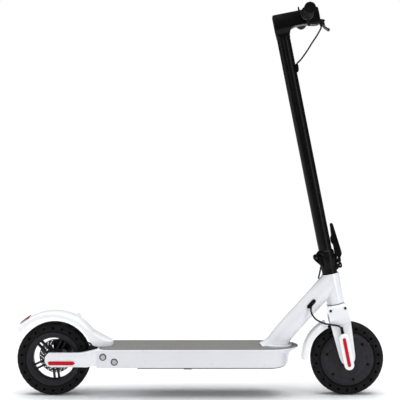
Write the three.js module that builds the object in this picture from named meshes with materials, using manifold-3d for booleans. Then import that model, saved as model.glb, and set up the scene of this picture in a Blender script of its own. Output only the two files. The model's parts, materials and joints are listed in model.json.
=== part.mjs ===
// Folding electric kick scooter.
// Units are millimetres. +X points forward, +Y to the rider's left, +Z up.
// The origin is on the ground, midway between the two axles.
import * as THREE from 'three';
import { mergeVertices } from 'three/addons/utils/BufferGeometryUtils.js';
import Module from 'manifold-3d';

const wasm = await Module();
wasm.setup();

// ---------------------------------------------------------------- driving dimensions
const GAP = 0.3;

const WHEELBASE = 862;
const TYRE_RADIUS = 107.5;
const TYRE_HALF_WIDTH = 25;
const TREAD_HALF_WIDTH = 9;
const RIM_RADIUS = 78.7;
const RIM_HALF_WIDTH = 21.5;
const REAR_X = -WHEELBASE / 2;
const FRONT_X = WHEELBASE / 2;
const AXLE_Z = TYRE_RADIUS;

const RAKE = THREE.MathUtils.degToRad(11.3);

const DECK = { back: -297, straight: 202, nose: 289, noseLow: 257.5, half: 77, low: 92, top: 145,
  wall: 2.5 };
const MAT = { back: -293, inset: 2.8, corner: 28, depth: 1.7, proud: 1.2 };
const COVER = { back: -180, inset: 5, low: 89.4, top: 91.7 };
const DECK_OPENING = { inset: 26, back: -177, high: 8 };

const NECK = { half: 29, deep: 29, wall: 3 };
const NECK_FOOT = { x: 225, long: 44, half: 42, thick: 4 };
const NECK_ROUTE = [[212, 136], [249.5, 185.7], [342.5, 288.5], [388, 341]];

// Places on the steering axis: t runs up the axis from the front axle, v forward from it.
const HEAD_TUBE = { low: 164.6, top: 253.9, radius: 26, bore: 18, seat: 21.5, seatDepth: 9 };
const STEERER_RADIUS = 15;
const CROWN = { low: 112, top: 163, half: 56, inside: 34 };
const LEG = { inner: 36, outer: 54, top: 111.7, low: -6 };
const LEG_COVER = { low: -25, top: 83, half: 14, outer: 65 };
const FOLD = { v: -31, t: 308, barrel: 8, pin: 3, knuckle: 10, half: 22 };
const BASE = { low: 254.2, top: 309.7, slim: 22.5, wide: 25 };
const FOOT = { low: 310.2, rim: 321, top: 325, radius: 24 };
const LEVER_PIVOT = { v: 30, t: 297, cheek: 7 };
const HOOK_PIVOT = { v: 28, t: 281, cheek: 5 };
const LATCH = { lug: 5.5, slot: 5.9, half: 9.5, sweep: 17.5, pin: 2.5, hookPin: 2.2 };
const STEM = { low: 325.4, top: 956.6, radius: 19.75, bore: 16.6, spigot: 16.2 };
const HEAD = { back: -20, front: 114, low: 984, top: 1023.5, half: 30, sleeve: 20.6 };
const BUTTON = { v: -6, radius: 6.5, room: 7, low: -4.7, top: 3.7 };
const BAR = { v: 75, t: 1007, radius: 11.1, bore: 9, half: 211 };
const GRIP = { inner: 93, outer: 215, radius: 16.2 };
const LEVER_TILT = THREE.MathUtils.degToRad(17.4);
const LEVER = { x: 56.4, y: 92, root: 7, half: 3 };

const FENDER = { half: 32.5, wall: 2.6 };
const REAR_FENDER = { radius: 141, flange: 124, from: 30, to: 139, front: -257, footHalf: 35,
  tyreRoom: 121 };
const FRONT_FENDER = { radius: 122.5, flange: 103, shift: -12.5, from: 117, to: 180 };
const ARM = { end: -448, inner: 47, outer: 67, low: 93, top: 133 };
const AXLE_RADIUS = 6;
const ROTOR = { radius: 50, near: 29, far: 31 };
const CALIPER = { back: -438, front: -384, near: 23, far: 44.5, low: 128, top: 160 };
const KICK = { x: -40, y: 52, z: 66, length: 103, radius: 5, barrel: 6 };
const PORT = { x: 150, z: 119, radius: 9, rim: 11.5, inner: 66 };
const CORD = { radius: 2.4, motor: 2.7 };

// ---------------------------------------------------------------- solids
const WHEEL_SIDES = 40;
const TUBE_SIDES = 24;
const SMALL_SIDES = 12;
const CORNER_STEPS = 3;

function signedVolume(position, index) {
  const a = new THREE.Vector3();
  const b = new THREE.Vector3();
  const c = new THREE.Vector3();
  let sum = 0;
  for (let i = 0; i < index.length; i += 3) {
    a.fromArray(position, index[i] * 3);
    b.fromArray(position, index[i + 1] * 3);
    c.fromArray(position, index[i + 2] * 3);
    sum += a.dot(b.cross(c)) / 6;
  }
  return sum;
}

// A closed three.js geometry as a solid whose faces point outwards.
function solid(geometry) {
  geometry.deleteAttribute('normal');
  geometry.deleteAttribute('uv');
  const merged = mergeVertices(geometry, 1e-3);
  const triangles = [];
  for (let i = 0; i < merged.index.count; i += 3) {
    const [a, b, c] = merged.index.array.slice(i, i + 3);
    if (a !== b && b !== c && c !== a) triangles.push(a, b, c);
  }
  if (signedVolume(merged.attributes.position.array, triangles) < 0) triangles.reverse();
  return new wasm.Manifold(new wasm.Mesh({
    numProp: 3,
    vertProperties: new Float32Array(merged.attributes.position.array),
    triVerts: new Uint32Array(triangles),
  }));
}

function join(...solids) {
  return solids.reduce((whole, piece) => whole.add(piece));
}

function cut(body, ...tools) {
  return tools.reduce((rest, tool) => rest.subtract(tool), body);
}

const steeringFrame = new THREE.Matrix4().makeTranslation(FRONT_X, 0, AXLE_Z)
  .multiply(new THREE.Matrix4().makeRotationY(-RAKE));

// ---------------------------------------------------------------- geometry
// An outline through points [x, y] or [x, y, corner radius].
function outline(points) {
  const shape = new THREE.Shape();
  points.forEach(([x, y, radius = 0], i) => {
    const corner = new THREE.Vector2(x, y);
    const before = new THREE.Vector2(...points.at(i - 1).slice(0, 2)).sub(corner);
    const after = new THREE.Vector2(...points[(i + 1) % points.length].slice(0, 2)).sub(corner);
    const reach = Math.min(radius, 0.45 * before.length(), 0.45 * after.length());
    const enter = corner.clone().add(before.setLength(reach));
    const leave = corner.clone().add(after.setLength(reach));
    if (i === 0) shape.moveTo(enter.x, enter.y);
    else shape.lineTo(enter.x, enter.y);
    if (radius > 0) shape.quadraticCurveTo(x, y, leave.x, leave.y);
  });
  shape.closePath();
  return shape;
}

// A slot outline standing on end, with round ends.
function capsule(x, low, top, half) {
  const shape = new THREE.Shape();
  shape.absarc(x, low + half, half, Math.PI, 2 * Math.PI);
  shape.absarc(x, top - half, half, 0, Math.PI);
  shape.closePath();
  return shape;
}

function drawn(shape, depth) {
  return new THREE.ExtrudeGeometry(shape, { depth, bevelEnabled: false, curveSegments: CORNER_STEPS });
}

// A side outline in X and Z, from one Y to another.
function slabY(shape, y0, y1) {
  return drawn(shape, y1 - y0).rotateX(Math.PI / 2).translate(0, y1, 0);
}

// A front outline in Y and Z, from one X to another.
function slabX(shape, x0, x1) {
  const turn = new THREE.Matrix4().makeBasis(
    new THREE.Vector3(0, 1, 0), new THREE.Vector3(0, 0, 1), new THREE.Vector3(1, 0, 0));
  return drawn(shape, x1 - x0).applyMatrix4(turn).translate(x0, 0, 0);
}

// A plan outline in X and Y, from one Z to another.
function slabZ(shape, z0, z1) {
  return drawn(shape, z1 - z0).translate(0, 0, z0);
}

function block(x0, x1, y0, y1, z0, z1) {
  return new THREE.BoxGeometry(x1 - x0, y1 - y0, z1 - z0)
    .translate((x0 + x1) / 2, (y0 + y1) / 2, (z0 + z1) / 2);
}

// A profile [radius, along] turned about the Y axis; it closes on itself unless it starts on the axis.
function turnedY(profile, x, z, sides = TUBE_SIDES) {
  const points = profile.map(([radius, along]) => new THREE.Vector2(radius, along));
  if (profile[0][0] > 0) points.push(points[0].clone());
  return new THREE.LatheGeometry(points, sides).rotateY(Math.PI / sides).translate(x, 0, z);
}

function turnedZ(profile, x = 0, y = 0, sides = TUBE_SIDES) {
  return turnedY(profile, 0, 0, sides).rotateX(Math.PI / 2).translate(x, y, 0);
}

function rodY(radius, y0, y1, x, z, sides = SMALL_SIDES) {
  return turnedY([[0, y0], [radius, y0], [radius, y1], [0, y1]], x, z, sides);
}

function rodZ(radius, z0, z1, x, y, sides = SMALL_SIDES) {
  return turnedZ([[0, z0], [radius, z0], [radius, z1], [0, z1]], x, y, sides);
}

// A straight rod between two points.
function rod(radius, from, to, sides = SMALL_SIDES) {
  const start = new THREE.Vector3(...from);
  const reach = new THREE.Vector3(...to).sub(start);
  const turn = new THREE.Quaternion().setFromUnitVectors(
    new THREE.Vector3(0, 1, 0), reach.clone().normalize());
  return new THREE.CylinderGeometry(radius, radius, reach.length(), sides)
    .translate(0, reach.length() / 2, 0)
    .applyQuaternion(turn)
    .translate(start.x, start.y, start.z);
}

// An oval section drawn along a smooth curve through points.
function swept(points, acrossHalf, deepHalf, steps, sides) {
  const oval = new THREE.Shape();
  oval.absellipse(0, 0, acrossHalf, deepHalf, 0, 2 * Math.PI);
  const extrudePath = new THREE.CatmullRomCurve3(points.map((p) => new THREE.Vector3(...p)));
  return new THREE.ExtrudeGeometry(oval, { extrudePath, steps, curveSegments: sides / 2 });
}

// A pie slice about the Y axis through (x, z), between two angles in degrees from +X towards +Z.
function wedge(x, z, fromDegrees, toDegrees, y0, y1) {
  const reach = 400;
  const points = [[x, z]];
  const slices = 6;
  for (let i = 0; i <= slices; i += 1) {
    const angle = THREE.MathUtils.degToRad(fromDegrees + (toDegrees - fromDegrees) * i / slices);
    points.push([x + reach * Math.cos(angle), z + reach * Math.sin(angle)]);
  }
  return slabY(outline(points), y0, y1);
}

// ---------------------------------------------------------------- scene graph
const scooter = new THREE.Group();
const front = new THREE.Group();
front.position.set(FRONT_X, 0, AXLE_Z);
front.rotation.y = -RAKE;
const lever = new THREE.Group();
lever.position.set(BAR.v, 0, BAR.t);
lever.rotation.y = LEVER_TILT;
front.add(lever);
scooter.add(front);

const COLOURS = {
  white: { color: 0xeef0f4, roughness: 0.25, metalness: 0.1 },
  black: { color: 0x141416, roughness: 0.4, metalness: 0.3 },
  dark: { color: 0x2d2a30, roughness: 0.5, metalness: 0.2 },
  rubber: { color: 0x101011, roughness: 0.9, metalness: 0 },
  mat: { color: 0x6e6c69, roughness: 0.9, metalness: 0 },
  red: { color: 0xb01820, roughness: 0.35, metalness: 0 },
  steel: { color: 0xa8a9ab, roughness: 0.35, metalness: 1 },
  lens: { color: 0xe8ecf0, roughness: 0.1, metalness: 0 },
  battery: { color: 0x28507a, roughness: 0.6, metalness: 0 },
};

function place(name, body, colour, group = scooter) {
  const mesh = body.getMesh();
  const geometry = new THREE.BufferGeometry();
  geometry.setAttribute('position', new THREE.BufferAttribute(new Float32Array(mesh.vertProperties), 3));
  geometry.setIndex(new THREE.BufferAttribute(new Uint32Array(mesh.triVerts), 1));
  geometry.computeVertexNormals();
  const piece = new THREE.Mesh(geometry, new THREE.MeshStandardMaterial(COLOURS[colour]));
  piece.name = name;
  group.add(piece);
}

const SIDES = [['right', -1], ['left', 1]];

// A slab on one side of the scooter, from near the middle plane outwards.
function slabSide(shape, side, inner, outer) {
  return slabY(shape, Math.min(side * inner, side * outer), Math.max(side * inner, side * outer));
}

// ---------------------------------------------------------------- brake cord
// The stretch the stem carries: from the lever bracket, through the grommet and down inside the tube.
function stemCord(radius) {
  const route = [[122.8, 84, 976.4], [119.5, 81.5, 970], [104, 67.5, 952], [84, 50, 932], [64, 33, 911],
    [44, 16, 892], [34, 7, 884], [27, 1.5, 879.5], [19, 0, 872], [12, 0, 861], [8, 0, 845], [6, 0, 800],
    [6, 0, 600], [6, 0, 352]];
  return solid(swept(route, radius, radius, 64, 8));
}

// The stretch the frame carries: from the caliper, beside the battery and up inside the neck.
function rearCord(radius) {
  const route = [[-375.6, 36, 150], [-366, 36, 150], [-350, 38, 149], [-328, 40, 141], [-308, 41, 131],
    [-297, 41, 129.5], [-284, 42, 134], [-240, 44, 135], [-205, 50, 131], [-185, 59, 121], [-150, 61, 116],
    [0, 61, 116], [115, 61, 116], [150, 46, 118], [180, 18, 122], [200, 3, 128], [214, 0, 142],
    [230, 0, 160], [250, 0, 186], [300, 0, 243], [325, 0, 276], [338, 0, 306], [344.5, 0, 330],
    [347.4, 0, 342]];
  return solid(swept(route, radius, radius, 84, 8));
}

// ---------------------------------------------------------------- deck
// The deck's plan: straight flanks and a half-oval nose, drawn in by an inset all round.
function deckPlan(inset, back, nose, corner) {
  const half = DECK.half - inset;
  const shape = new THREE.Shape();
  shape.moveTo(back + corner, -half);
  shape.lineTo(DECK.straight, -half);
  shape.absellipse(DECK.straight, 0, nose - inset - DECK.straight, half, -Math.PI / 2, Math.PI / 2);
  shape.lineTo(back + corner, half);
  if (corner > 0) {
    shape.quadraticCurveTo(back, half, back, half - corner);
    shape.lineTo(back, corner - half);
    shape.quadraticCurveTo(back, -half, back + corner, -half);
  } else {
    shape.lineTo(back, -half);
  }
  return shape;
}

function deckSlab(inset, back, low, top, nose = DECK.nose, corner = 0) {
  const geometry = new THREE.ExtrudeGeometry(deckPlan(inset, back, nose, corner), {
    depth: top - low, bevelEnabled: false, curveSegments: 14 });
  return solid(geometry.translate(0, 0, low));
}

// The oval on which the neck stands.
function neckOval(extra, low, top) {
  const oval = new THREE.Shape();
  oval.absellipse(NECK_FOOT.x, 0, NECK_FOOT.long + extra, NECK_FOOT.half + extra, 0, 2 * Math.PI);
  return solid(new THREE.ExtrudeGeometry(oval, { depth: top - low, bevelEnabled: false, curveSegments: 14 })
    .translate(0, 0, low));
}

function neckSolid(extra) {
  const route = NECK_ROUTE.map(([x, z]) => [x, 0, z]);
  const body = solid(swept(route, NECK.half + extra, NECK.deep + extra, 7, 20));
  const headRoom = solid(block(-600, 0, -60, 60, -400, HEAD_TUBE.top - GAP).applyMatrix4(steeringFrame));
  const aboveDeck = solid(block(100, 500, -60, 60, DECK.top + GAP - extra, 400));
  return body.intersect(aboveDeck).intersect(headRoom)
    .add(neckOval(extra, DECK.top + GAP, DECK.top + NECK_FOOT.thick));
}

function buildDeck() {
  const { back, noseLow, nose, half, low, top, wall } = DECK;
  const noseCurve = [[noseLow, low], [noseLow + 3, 118], [noseLow + 9.5, 131], [nose - 6, 139], [nose, top]];
  const leanSide = outline([[back - 100, low], ...noseCurve, [back - 100, top]]);
  const lean = solid(slabY(leanSide, -half - 20, half + 20));
  const cavity = deckSlab(wall, back + wall, low + 4, top - 5)
    .intersect(solid(block(back, noseLow - 8, -half, half, low, top)));
  const shell = cut(
    deckSlab(0, back, low, top).intersect(lean),
    cavity,
    deckSlab(DECK_OPENING.inset, DECK_OPENING.back, low - 1, low + DECK_OPENING.high, noseLow),
    deckSlab(MAT.inset - GAP, MAT.back - GAP, top - MAT.depth, top + 1, nose, MAT.corner),
    solid(rodY(PORT.radius, PORT.inner - 6, half + 10, PORT.x, PORT.z)));
  place('deck_shell', cut(shell.add(neckOval(0, top - 4, top)), rearCord(CORD.radius + GAP)), 'white');
  const footFront = REAR_FENDER.front + 2 * GAP;
  const notch = [[MAT.back - 10, top - 5], [footFront, top - 5], [footFront, top + 5],
    [MAT.back - 10, top + 5]];
  place('deck_mat', cut(
    deckSlab(MAT.inset, MAT.back, top - MAT.depth + GAP, top + MAT.proud, nose, MAT.corner),
    neckOval(2 * GAP, top - 10, top + 10),
    fenderFoot(notch, footFront, REAR_FENDER.footHalf + 2 * GAP)), 'mat');

  place('bottom_cover', deckSlab(COVER.inset, COVER.back, COVER.low, COVER.top, noseLow), 'black');
  place('battery_pack', solid(block(-170, 128, -49, 49, 93, 138)), 'battery');
  place('motor_controller', solid(block(-288, -196, -46, 46, 98, 130)), 'dark');

  place('neck_tube', cut(
    neckSolid(0),
    solid(turnedZ([[0, 100], [HEAD_TUBE.radius + GAP, 100], [HEAD_TUBE.radius + GAP, 320], [0, 320]])
      .applyMatrix4(steeringFrame)),
    solid(swept([[205, 0, 128], [249.5, 0, 185.7], [322, 0, 266]], NECK.half - NECK.wall,
      NECK.deep - NECK.wall, 4, 16)),
    rearCord(CORD.radius + GAP)), 'white');

  const rim = half + GAP;
  place('charge_port', solid(turnedY([[0, PORT.inner], [PORT.radius - GAP, PORT.inner],
    [PORT.radius - GAP, rim], [PORT.rim, rim], [PORT.rim, rim + 1.7], [4.5, rim + 1.7],
    [4.5, PORT.inner + 5], [0, PORT.inner + 5]], PORT.x, PORT.z, SMALL_SIDES)), 'black');
  const capInner = rim + 2.1;
  place('charge_port_cap', join(
    solid(rodY(PORT.rim, capInner, capInner + 2, PORT.x, PORT.z)),
    solid(block(PORT.x - 5, PORT.x + 5, capInner, capInner + 2, PORT.z + 6, PORT.z + 13.5))), 'rubber');
}

// ---------------------------------------------------------------- head tube and bearings
function bearing(low, top) {
  return solid(turnedZ([[STEERER_RADIUS + GAP, low], [21, low], [21, top], [STEERER_RADIUS + GAP, top]]));
}

function buildHeadTube() {
  const { low, top, radius, bore, seat, seatDepth } = HEAD_TUBE;
  place('head_tube', solid(turnedZ([[seat, low], [radius, low], [radius, top], [seat, top],
    [seat, top - seatDepth], [bore, top - seatDepth], [bore, low + seatDepth], [seat, low + seatDepth]])),
  'white', front);
  place('lower_head_bearing', bearing(CROWN.top + GAP, low + seatDepth - GAP), 'steel', front);
  place('upper_head_bearing', bearing(top - seatDepth + GAP, top - 0.2), 'steel', front);
}

// ---------------------------------------------------------------- rear end
function buildRearArms() {
  const side = outline([[-297.3, 98.5], [-315, 98.5, 4], [-323, ARM.low, 6], [-436, ARM.low, 8],
    [ARM.end, 106, 6], [ARM.end, 122, 4],
    [-439, ARM.top, 3], [-340, ARM.top, 10], [-297.3, 145]]);
  SIDES.forEach(([name, sign]) => {
    const plan = outline([[ARM.end, ARM.inner * sign], [ARM.end, ARM.outer * sign],
      [-338, ARM.outer * sign, 12], [-306, DECK.half * sign, 8], [-297.3, DECK.half * sign],
      [-297.3, ARM.inner * sign]]);
    const arm = solid(slabY(side, -90, 90)).intersect(solid(slabZ(plan, 80, 160)));
    const socket = solid(rodY(6.4, sign * 40, sign * 60.4, REAR_X, AXLE_Z));
    place(`rear_arm_${name}`, cut(arm, socket), 'white');
    const strip = slabSide(outline([[-438, 99.5, 5], [-366, 99.5, 2], [-360, 105, 2], [-366, 110.5, 2],
      [-438, 110.5, 5]]), sign, ARM.outer + GAP, ARM.outer + 2);
    place(`rear_reflector_${name}`, solid(strip), 'red');
  });
  place('rear_axle', solid(turnedY([[0, -60], [AXLE_RADIUS, -60], [AXLE_RADIUS, -46.6], [10, -46.6],
    [10, -40], [AXLE_RADIUS, -40], [AXLE_RADIUS, 40], [10, 40], [10, 46.6], [AXLE_RADIUS, 46.6],
    [AXLE_RADIUS, 60], [0, 60]], REAR_X, AXLE_Z, SMALL_SIDES)), 'steel');
}

// A channel of fender section, turned about an axle.
function fenderRing(radius, flange, x) {
  const { half, wall } = FENDER;
  return solid(turnedY([[flange, -half], [radius - 7, -half], [radius, -half + 8], [radius, half - 8],
    [radius - 7, half], [flange, half], [flange, half - wall], [radius - 8, half - wall],
    [radius - wall, half - 10], [radius - wall, -half + 10], [radius - 8, -half + wall],
    [flange, -half + wall]], x, AXLE_Z, 72));
}

// The fender's fairing, which stands on the mat: a side outline cut to a plan with a rounded front.
function fenderFoot(side, front, half) {
  const plan = new THREE.Shape();
  plan.moveTo(-360, -half);
  plan.lineTo(-282, -half);
  plan.absellipse(-282, 0, front + 282, half, -Math.PI / 2, Math.PI / 2);
  plan.lineTo(-360, half);
  plan.closePath();
  const column = new THREE.ExtrudeGeometry(plan, { depth: 100, bevelEnabled: false, curveSegments: 6 });
  return solid(slabY(outline(side), -half, half)).intersect(solid(column.translate(0, 0, 130)));
}

function buildRearFender() {
  const { radius, flange, from, to, front: nose, footHalf, tyreRoom } = REAR_FENDER;
  const arc = fenderRing(radius, flange, REAR_X)
    .intersect(solid(wedge(REAR_X, AXLE_Z, from, to, -60, 60)));
  const foot = cut(
    fenderFoot([[-313, 150], [-300, 146.5], [nose, 146.5], [nose, 157], [nose - 2, 159.6], [-275, 163],
      [-293, 172], [-319, 187], [-335, 205], [-343, 196]], nose, footHalf),
    fenderFoot([[-330, 140], [-259.6, 140], [-259.6, 156], [-262, 157.4], [-276, 160.4], [-294, 169.4],
      [-320, 184.4], [-335, 202], [-345, 196], [-330, 170]], nose - FENDER.wall, footHalf - FENDER.wall),
    solid(rodY(tyreRoom, -60, 60, REAR_X, AXLE_Z, 72)));
  const hook = solid(slabY(outline([[-372, 218], [-352, 208], [-349, 219], [-356, 237, 2], [-364, 238, 2],
    [-360, 228]]), -8, 8));
  place('rear_fender', cut(join(arc, foot, hook), solid(block(-366, -357, -3, 3, 224, 230))), 'white');

  const lamp = solid(turnedY([[radius + GAP, -22], [radius + 2.5, -22], [radius + 3.7, -20],
    [radius + 3.7, 20], [radius + 2.5, 22], [radius + GAP, 22]], REAR_X, AXLE_Z, 72));
  place('tail_light', lamp.intersect(solid(wedge(REAR_X, AXLE_Z, 120, 133, -60, 60))), 'red');
}

function buildBrake() {
  const { back, front: nose, near, far, low, top } = CALIPER;
  const body = cut(
    join(solid(slabY(outline([[back, low, 5], [nose, low, 5], [nose, top, 5], [back, top, 5]]), near, far)),
      solid(block(nose - 2, nose + 8, 30, 42, 144, 156)),
      solid(rodY(2.5, far - 1, far + 6, -398, 150))),
    solid(turnedY([[0, ROTOR.near - 0.8], [ROTOR.radius + 2, ROTOR.near - 0.8],
      [ROTOR.radius + 2, ROTOR.far + 0.8], [0, ROTOR.far + 0.8]], REAR_X, AXLE_Z, WHEEL_SIDES)));
  place('brake_caliper', body, 'black');
  const armOutline = outline([[-404, 147, 3], [-393, 143, 3], [-375, 167, 3], [-382, 173, 3]]);
  place('caliper_arm', cut(
    join(solid(rodY(7, far + GAP, far + 4, -398, 150)), solid(slabY(armOutline, far + GAP, far + 4))),
    solid(rodY(2.8, 0, 90, -398, 150))), 'steel');
  place('brake_rotor', solid(turnedY([[14, ROTOR.near], [ROTOR.radius, ROTOR.near],
    [ROTOR.radius, ROTOR.far], [14, ROTOR.far]], REAR_X, AXLE_Z, WHEEL_SIDES)), 'steel');
  place('rear_brake_cable', rearCord(CORD.radius), 'black');
}

// ---------------------------------------------------------------- wheels
function tyreProfile() {
  const side = [[RIM_RADIUS + GAP, 20], [86, 24], [94, TYRE_HALF_WIDTH], [101, 22], [105.3, 15.5],
    [TYRE_RADIUS, TREAD_HALF_WIDTH]];
  const mirrored = side.map(([radius, y]) => [radius, -y]).reverse();
  return [...side, ...mirrored];
}

function buildWheels() {
  place('rear_tyre', solid(turnedY(tyreProfile(), REAR_X, AXLE_Z, WHEEL_SIDES)), 'rubber');
  place('front_tyre', solid(turnedY(tyreProfile(), FRONT_X, AXLE_Z, WHEEL_SIDES)), 'rubber');

  const rim = solid(turnedY([[61.5, -14], [67, -RIM_HALF_WIDTH], [RIM_RADIUS, -RIM_HALF_WIDTH],
    [RIM_RADIUS, RIM_HALF_WIDTH], [67, RIM_HALF_WIDTH], [61.5, 14]], REAR_X, AXLE_Z, WHEEL_SIDES));
  const hub = solid(turnedY([[6.5, -28], [15, -28], [20, -10], [20, 10], [17, 28.7], [6.5, 28.7]],
    REAR_X, AXLE_Z, TUBE_SIDES));
  const spokes = [];
  for (let i = 0; i < 5; i += 1) {
    [-6.5, 6.5].forEach((offset) => {
      spokes.push(solid(block(15, 67, -7, 7, offset - 2.5, offset + 2.5)
        .rotateY(-THREE.MathUtils.degToRad(61 + 72 * i))
        .translate(REAR_X, 0, AXLE_Z)));
    });
  }
  place('rear_rim', join(rim, hub, ...spokes), 'black');

  const shell = [[8.6, -29], [71.5, -29], [73, -25.5], [77, -24], [RIM_RADIUS, -RIM_HALF_WIDTH],
    [RIM_RADIUS, RIM_HALF_WIDTH], [77, 24], [73, 25.5], [71.5, 29], [8.6, 29], [8.6, 25], [66, 25],
    [66, -25], [8.6, -25]];
  place('motor_shell', solid(turnedY(shell, FRONT_X, AXLE_Z, WHEEL_SIDES)), 'dark');
  place('motor_axle', solid(turnedY([[0, -50], [8, -50], [8, -16], [60, -16], [60, 16], [8, 16], [8, 50],
    [0, 50]], FRONT_X, AXLE_Z, TUBE_SIDES)), 'steel');
}

// ---------------------------------------------------------------- fork
function buildFork() {
  const side = outline([[-26, CROWN.top, 3], [26, CROWN.top, 3], [30.5, CROWN.low, 3],
    [-30.5, CROWN.low, 3]]);
  const across = outline([[-CROWN.half, CROWN.low], [-CROWN.half, 124, 10], [-40, CROWN.top, 6],
    [40, CROWN.top, 6], [CROWN.half, 124, 10], [CROWN.half, CROWN.low], [CROWN.inside, CROWN.low],
    [CROWN.inside, 136, 10], [-CROWN.inside, 136, 10], [-CROWN.inside, CROWN.low]]);
  place('fork_crown', join(
    solid(slabY(side, -80, 80)).intersect(solid(slabX(across, -60, 60))),
    solid(rodZ(STEERER_RADIUS, 150, 284, 0, 0, TUBE_SIDES))), 'white', front);

  const leg = outline([[-29.5, LEG.top], [-21.5, 0, 10], [-15, LEG.low, 4], [15, LEG.low, 4], [21.5, 0, 10],
    [29.5, LEG.top]]);
  SIDES.forEach(([name, sign]) => {
    place(`fork_leg_${name}`, cut(
      solid(slabSide(leg, sign, LEG.inner, LEG.outer)),
      solid(rodY(8.4, sign * (LEG.inner - 1), sign * 50.5, 0, 0))), 'white', front);
    const cover = new THREE.ExtrudeGeometry(capsule(0, LEG_COVER.low, LEG_COVER.top, LEG_COVER.half), {
      depth: LEG_COVER.outer - LEG.outer - GAP, bevelEnabled: false, curveSegments: 12 });
    cover.rotateX(Math.PI / 2).translate(0, sign > 0 ? LEG_COVER.outer : -LEG.outer - GAP, 0);
    place(`fork_cover_${name}`, solid(cover), 'white', front);
    place(`front_reflector_${name}`, solid(slabSide(capsule(0, -15, 71, 4.75), sign,
      LEG_COVER.outer + GAP, LEG_COVER.outer + 1.6)), 'red', front);
  });

  const { radius, flange, shift, from, to } = FRONT_FENDER;
  place('front_fender', fenderRing(radius, flange, FRONT_X + shift)
    .intersect(solid(wedge(FRONT_X, AXLE_Z, from, to, -60, 60))), 'white');
}

// ---------------------------------------------------------------- folding joint
function footLathe() {
  return solid(turnedZ([[0, FOOT.low], [FOOT.radius, FOOT.low], [FOOT.radius, FOOT.rim],
    [20, FOOT.top], [STEM.spigot, FOOT.top], [STEM.spigot, FOOT.top + 20], [0, FOOT.top + 20]]));
}

function buildFoldingJoint() {
  const { v, t, barrel, pin, knuckle, half } = FOLD;
  const pinBore = solid(rodY(pin + GAP, -30, 30, v, t));
  const rearWeb = outline([[-16, 280], [-21, 281], [-37.4, 303.2], [v, BASE.top], [-16, BASE.top]]);
  const column = solid(turnedZ([[0, 286], [STEERER_RADIUS + GAP, 286], [STEERER_RADIUS + GAP, BASE.low],
    [BASE.slim, BASE.low], [BASE.slim, 272], [BASE.wide, 292], [BASE.wide, BASE.top], [0, BASE.top]]));
  const lug = outline([[18, 262], [26, 262, 3], [32, 272, 3], [33.5, 284], [39, 282.9, 1], [40, 296, 3],
    [37, 302, 3], [29, 305, 3], [18, 306]]);
  const base = cut(
    join(column, solid(slabY(rearWeb, -half, half)), solid(rodY(barrel, -half, half, v, t))),
    solid(rodY(barrel + 0.6, -knuckle - GAP, knuckle + GAP, v, t)),
    pinBore,
    solid(rodY(LEVER_PIVOT.cheek + 0.6, -12, 12, LEVER_PIVOT.v, LEVER_PIVOT.t)),
    solid(rodY(HOOK_PIVOT.cheek + 0.6, -12, 12, HOOK_PIVOT.v, HOOK_PIVOT.t)),
    solid(rod(CORD.radius + 0.5, [-19.7, 0, 285], [-29, 0, 262])));
  place('fold_base', join(
    base,
    solid(slabY(lug, -LATCH.lug, LATCH.lug)),
    solid(rodY(LATCH.pin, -10.5, 10.5, LEVER_PIVOT.v, LEVER_PIVOT.t)),
    solid(rodY(LATCH.hookPin, -10, 10, HOOK_PIVOT.v, HOOK_PIVOT.t))), 'black', front);
  place('hinge_pin', solid(rodY(pin, -half, half, v, t)), 'steel', front);

  const web = outline([[v, FOOT.low], [v, t + barrel], [-20.5, FOOT.top], [-10, FOOT.top],
    [-10, FOOT.low]]);
  place('stem_foot', cut(
    join(footLathe(), solid(slabY(web, -knuckle, knuckle)), solid(rodY(barrel, -knuckle, knuckle, v, t))),
    pinBore), 'black', front);

  const blade = outline([[37, 293, 2], [45.5, 305, 6], [45, 316], [36, 399, 4], [27.5, 399, 4], [24.8, 362],
    [25, 296]]);
  place('fold_lever', cut(
    join(solid(slabY(blade, -LATCH.half, LATCH.half)),
      solid(rodY(LEVER_PIVOT.cheek, -LATCH.half, LATCH.half, LEVER_PIVOT.v, LEVER_PIVOT.t))),
    solid(rodY(LATCH.sweep, -LATCH.slot, LATCH.slot, LEVER_PIVOT.v, LEVER_PIVOT.t, TUBE_SIDES)),
    solid(rodY(LATCH.pin + GAP, -20, 20, LEVER_PIVOT.v, LEVER_PIVOT.t))), 'black', front);
  const hook = outline([[28, 276], [26, 284], [30, 285.5], [39.5, 279.5, 2], [39.5, 268, 2], [34, 266]]);
  const hookRoom = outline([[10, 255], [30, 255], [34.5, 270], [35.6, 290], [10, 290]]);
  place('lock_hook', cut(
    join(solid(slabY(hook, GAP - LATCH.half, LATCH.half - GAP)),
      solid(rodY(HOOK_PIVOT.cheek, GAP - LATCH.half, LATCH.half - GAP, HOOK_PIVOT.v, HOOK_PIVOT.t))),
    solid(slabY(hookRoom, -LATCH.slot, LATCH.slot)),
    solid(rodY(LATCH.hookPin + GAP, -20, 20, HOOK_PIVOT.v, HOOK_PIVOT.t))), 'black', front);
}

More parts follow.
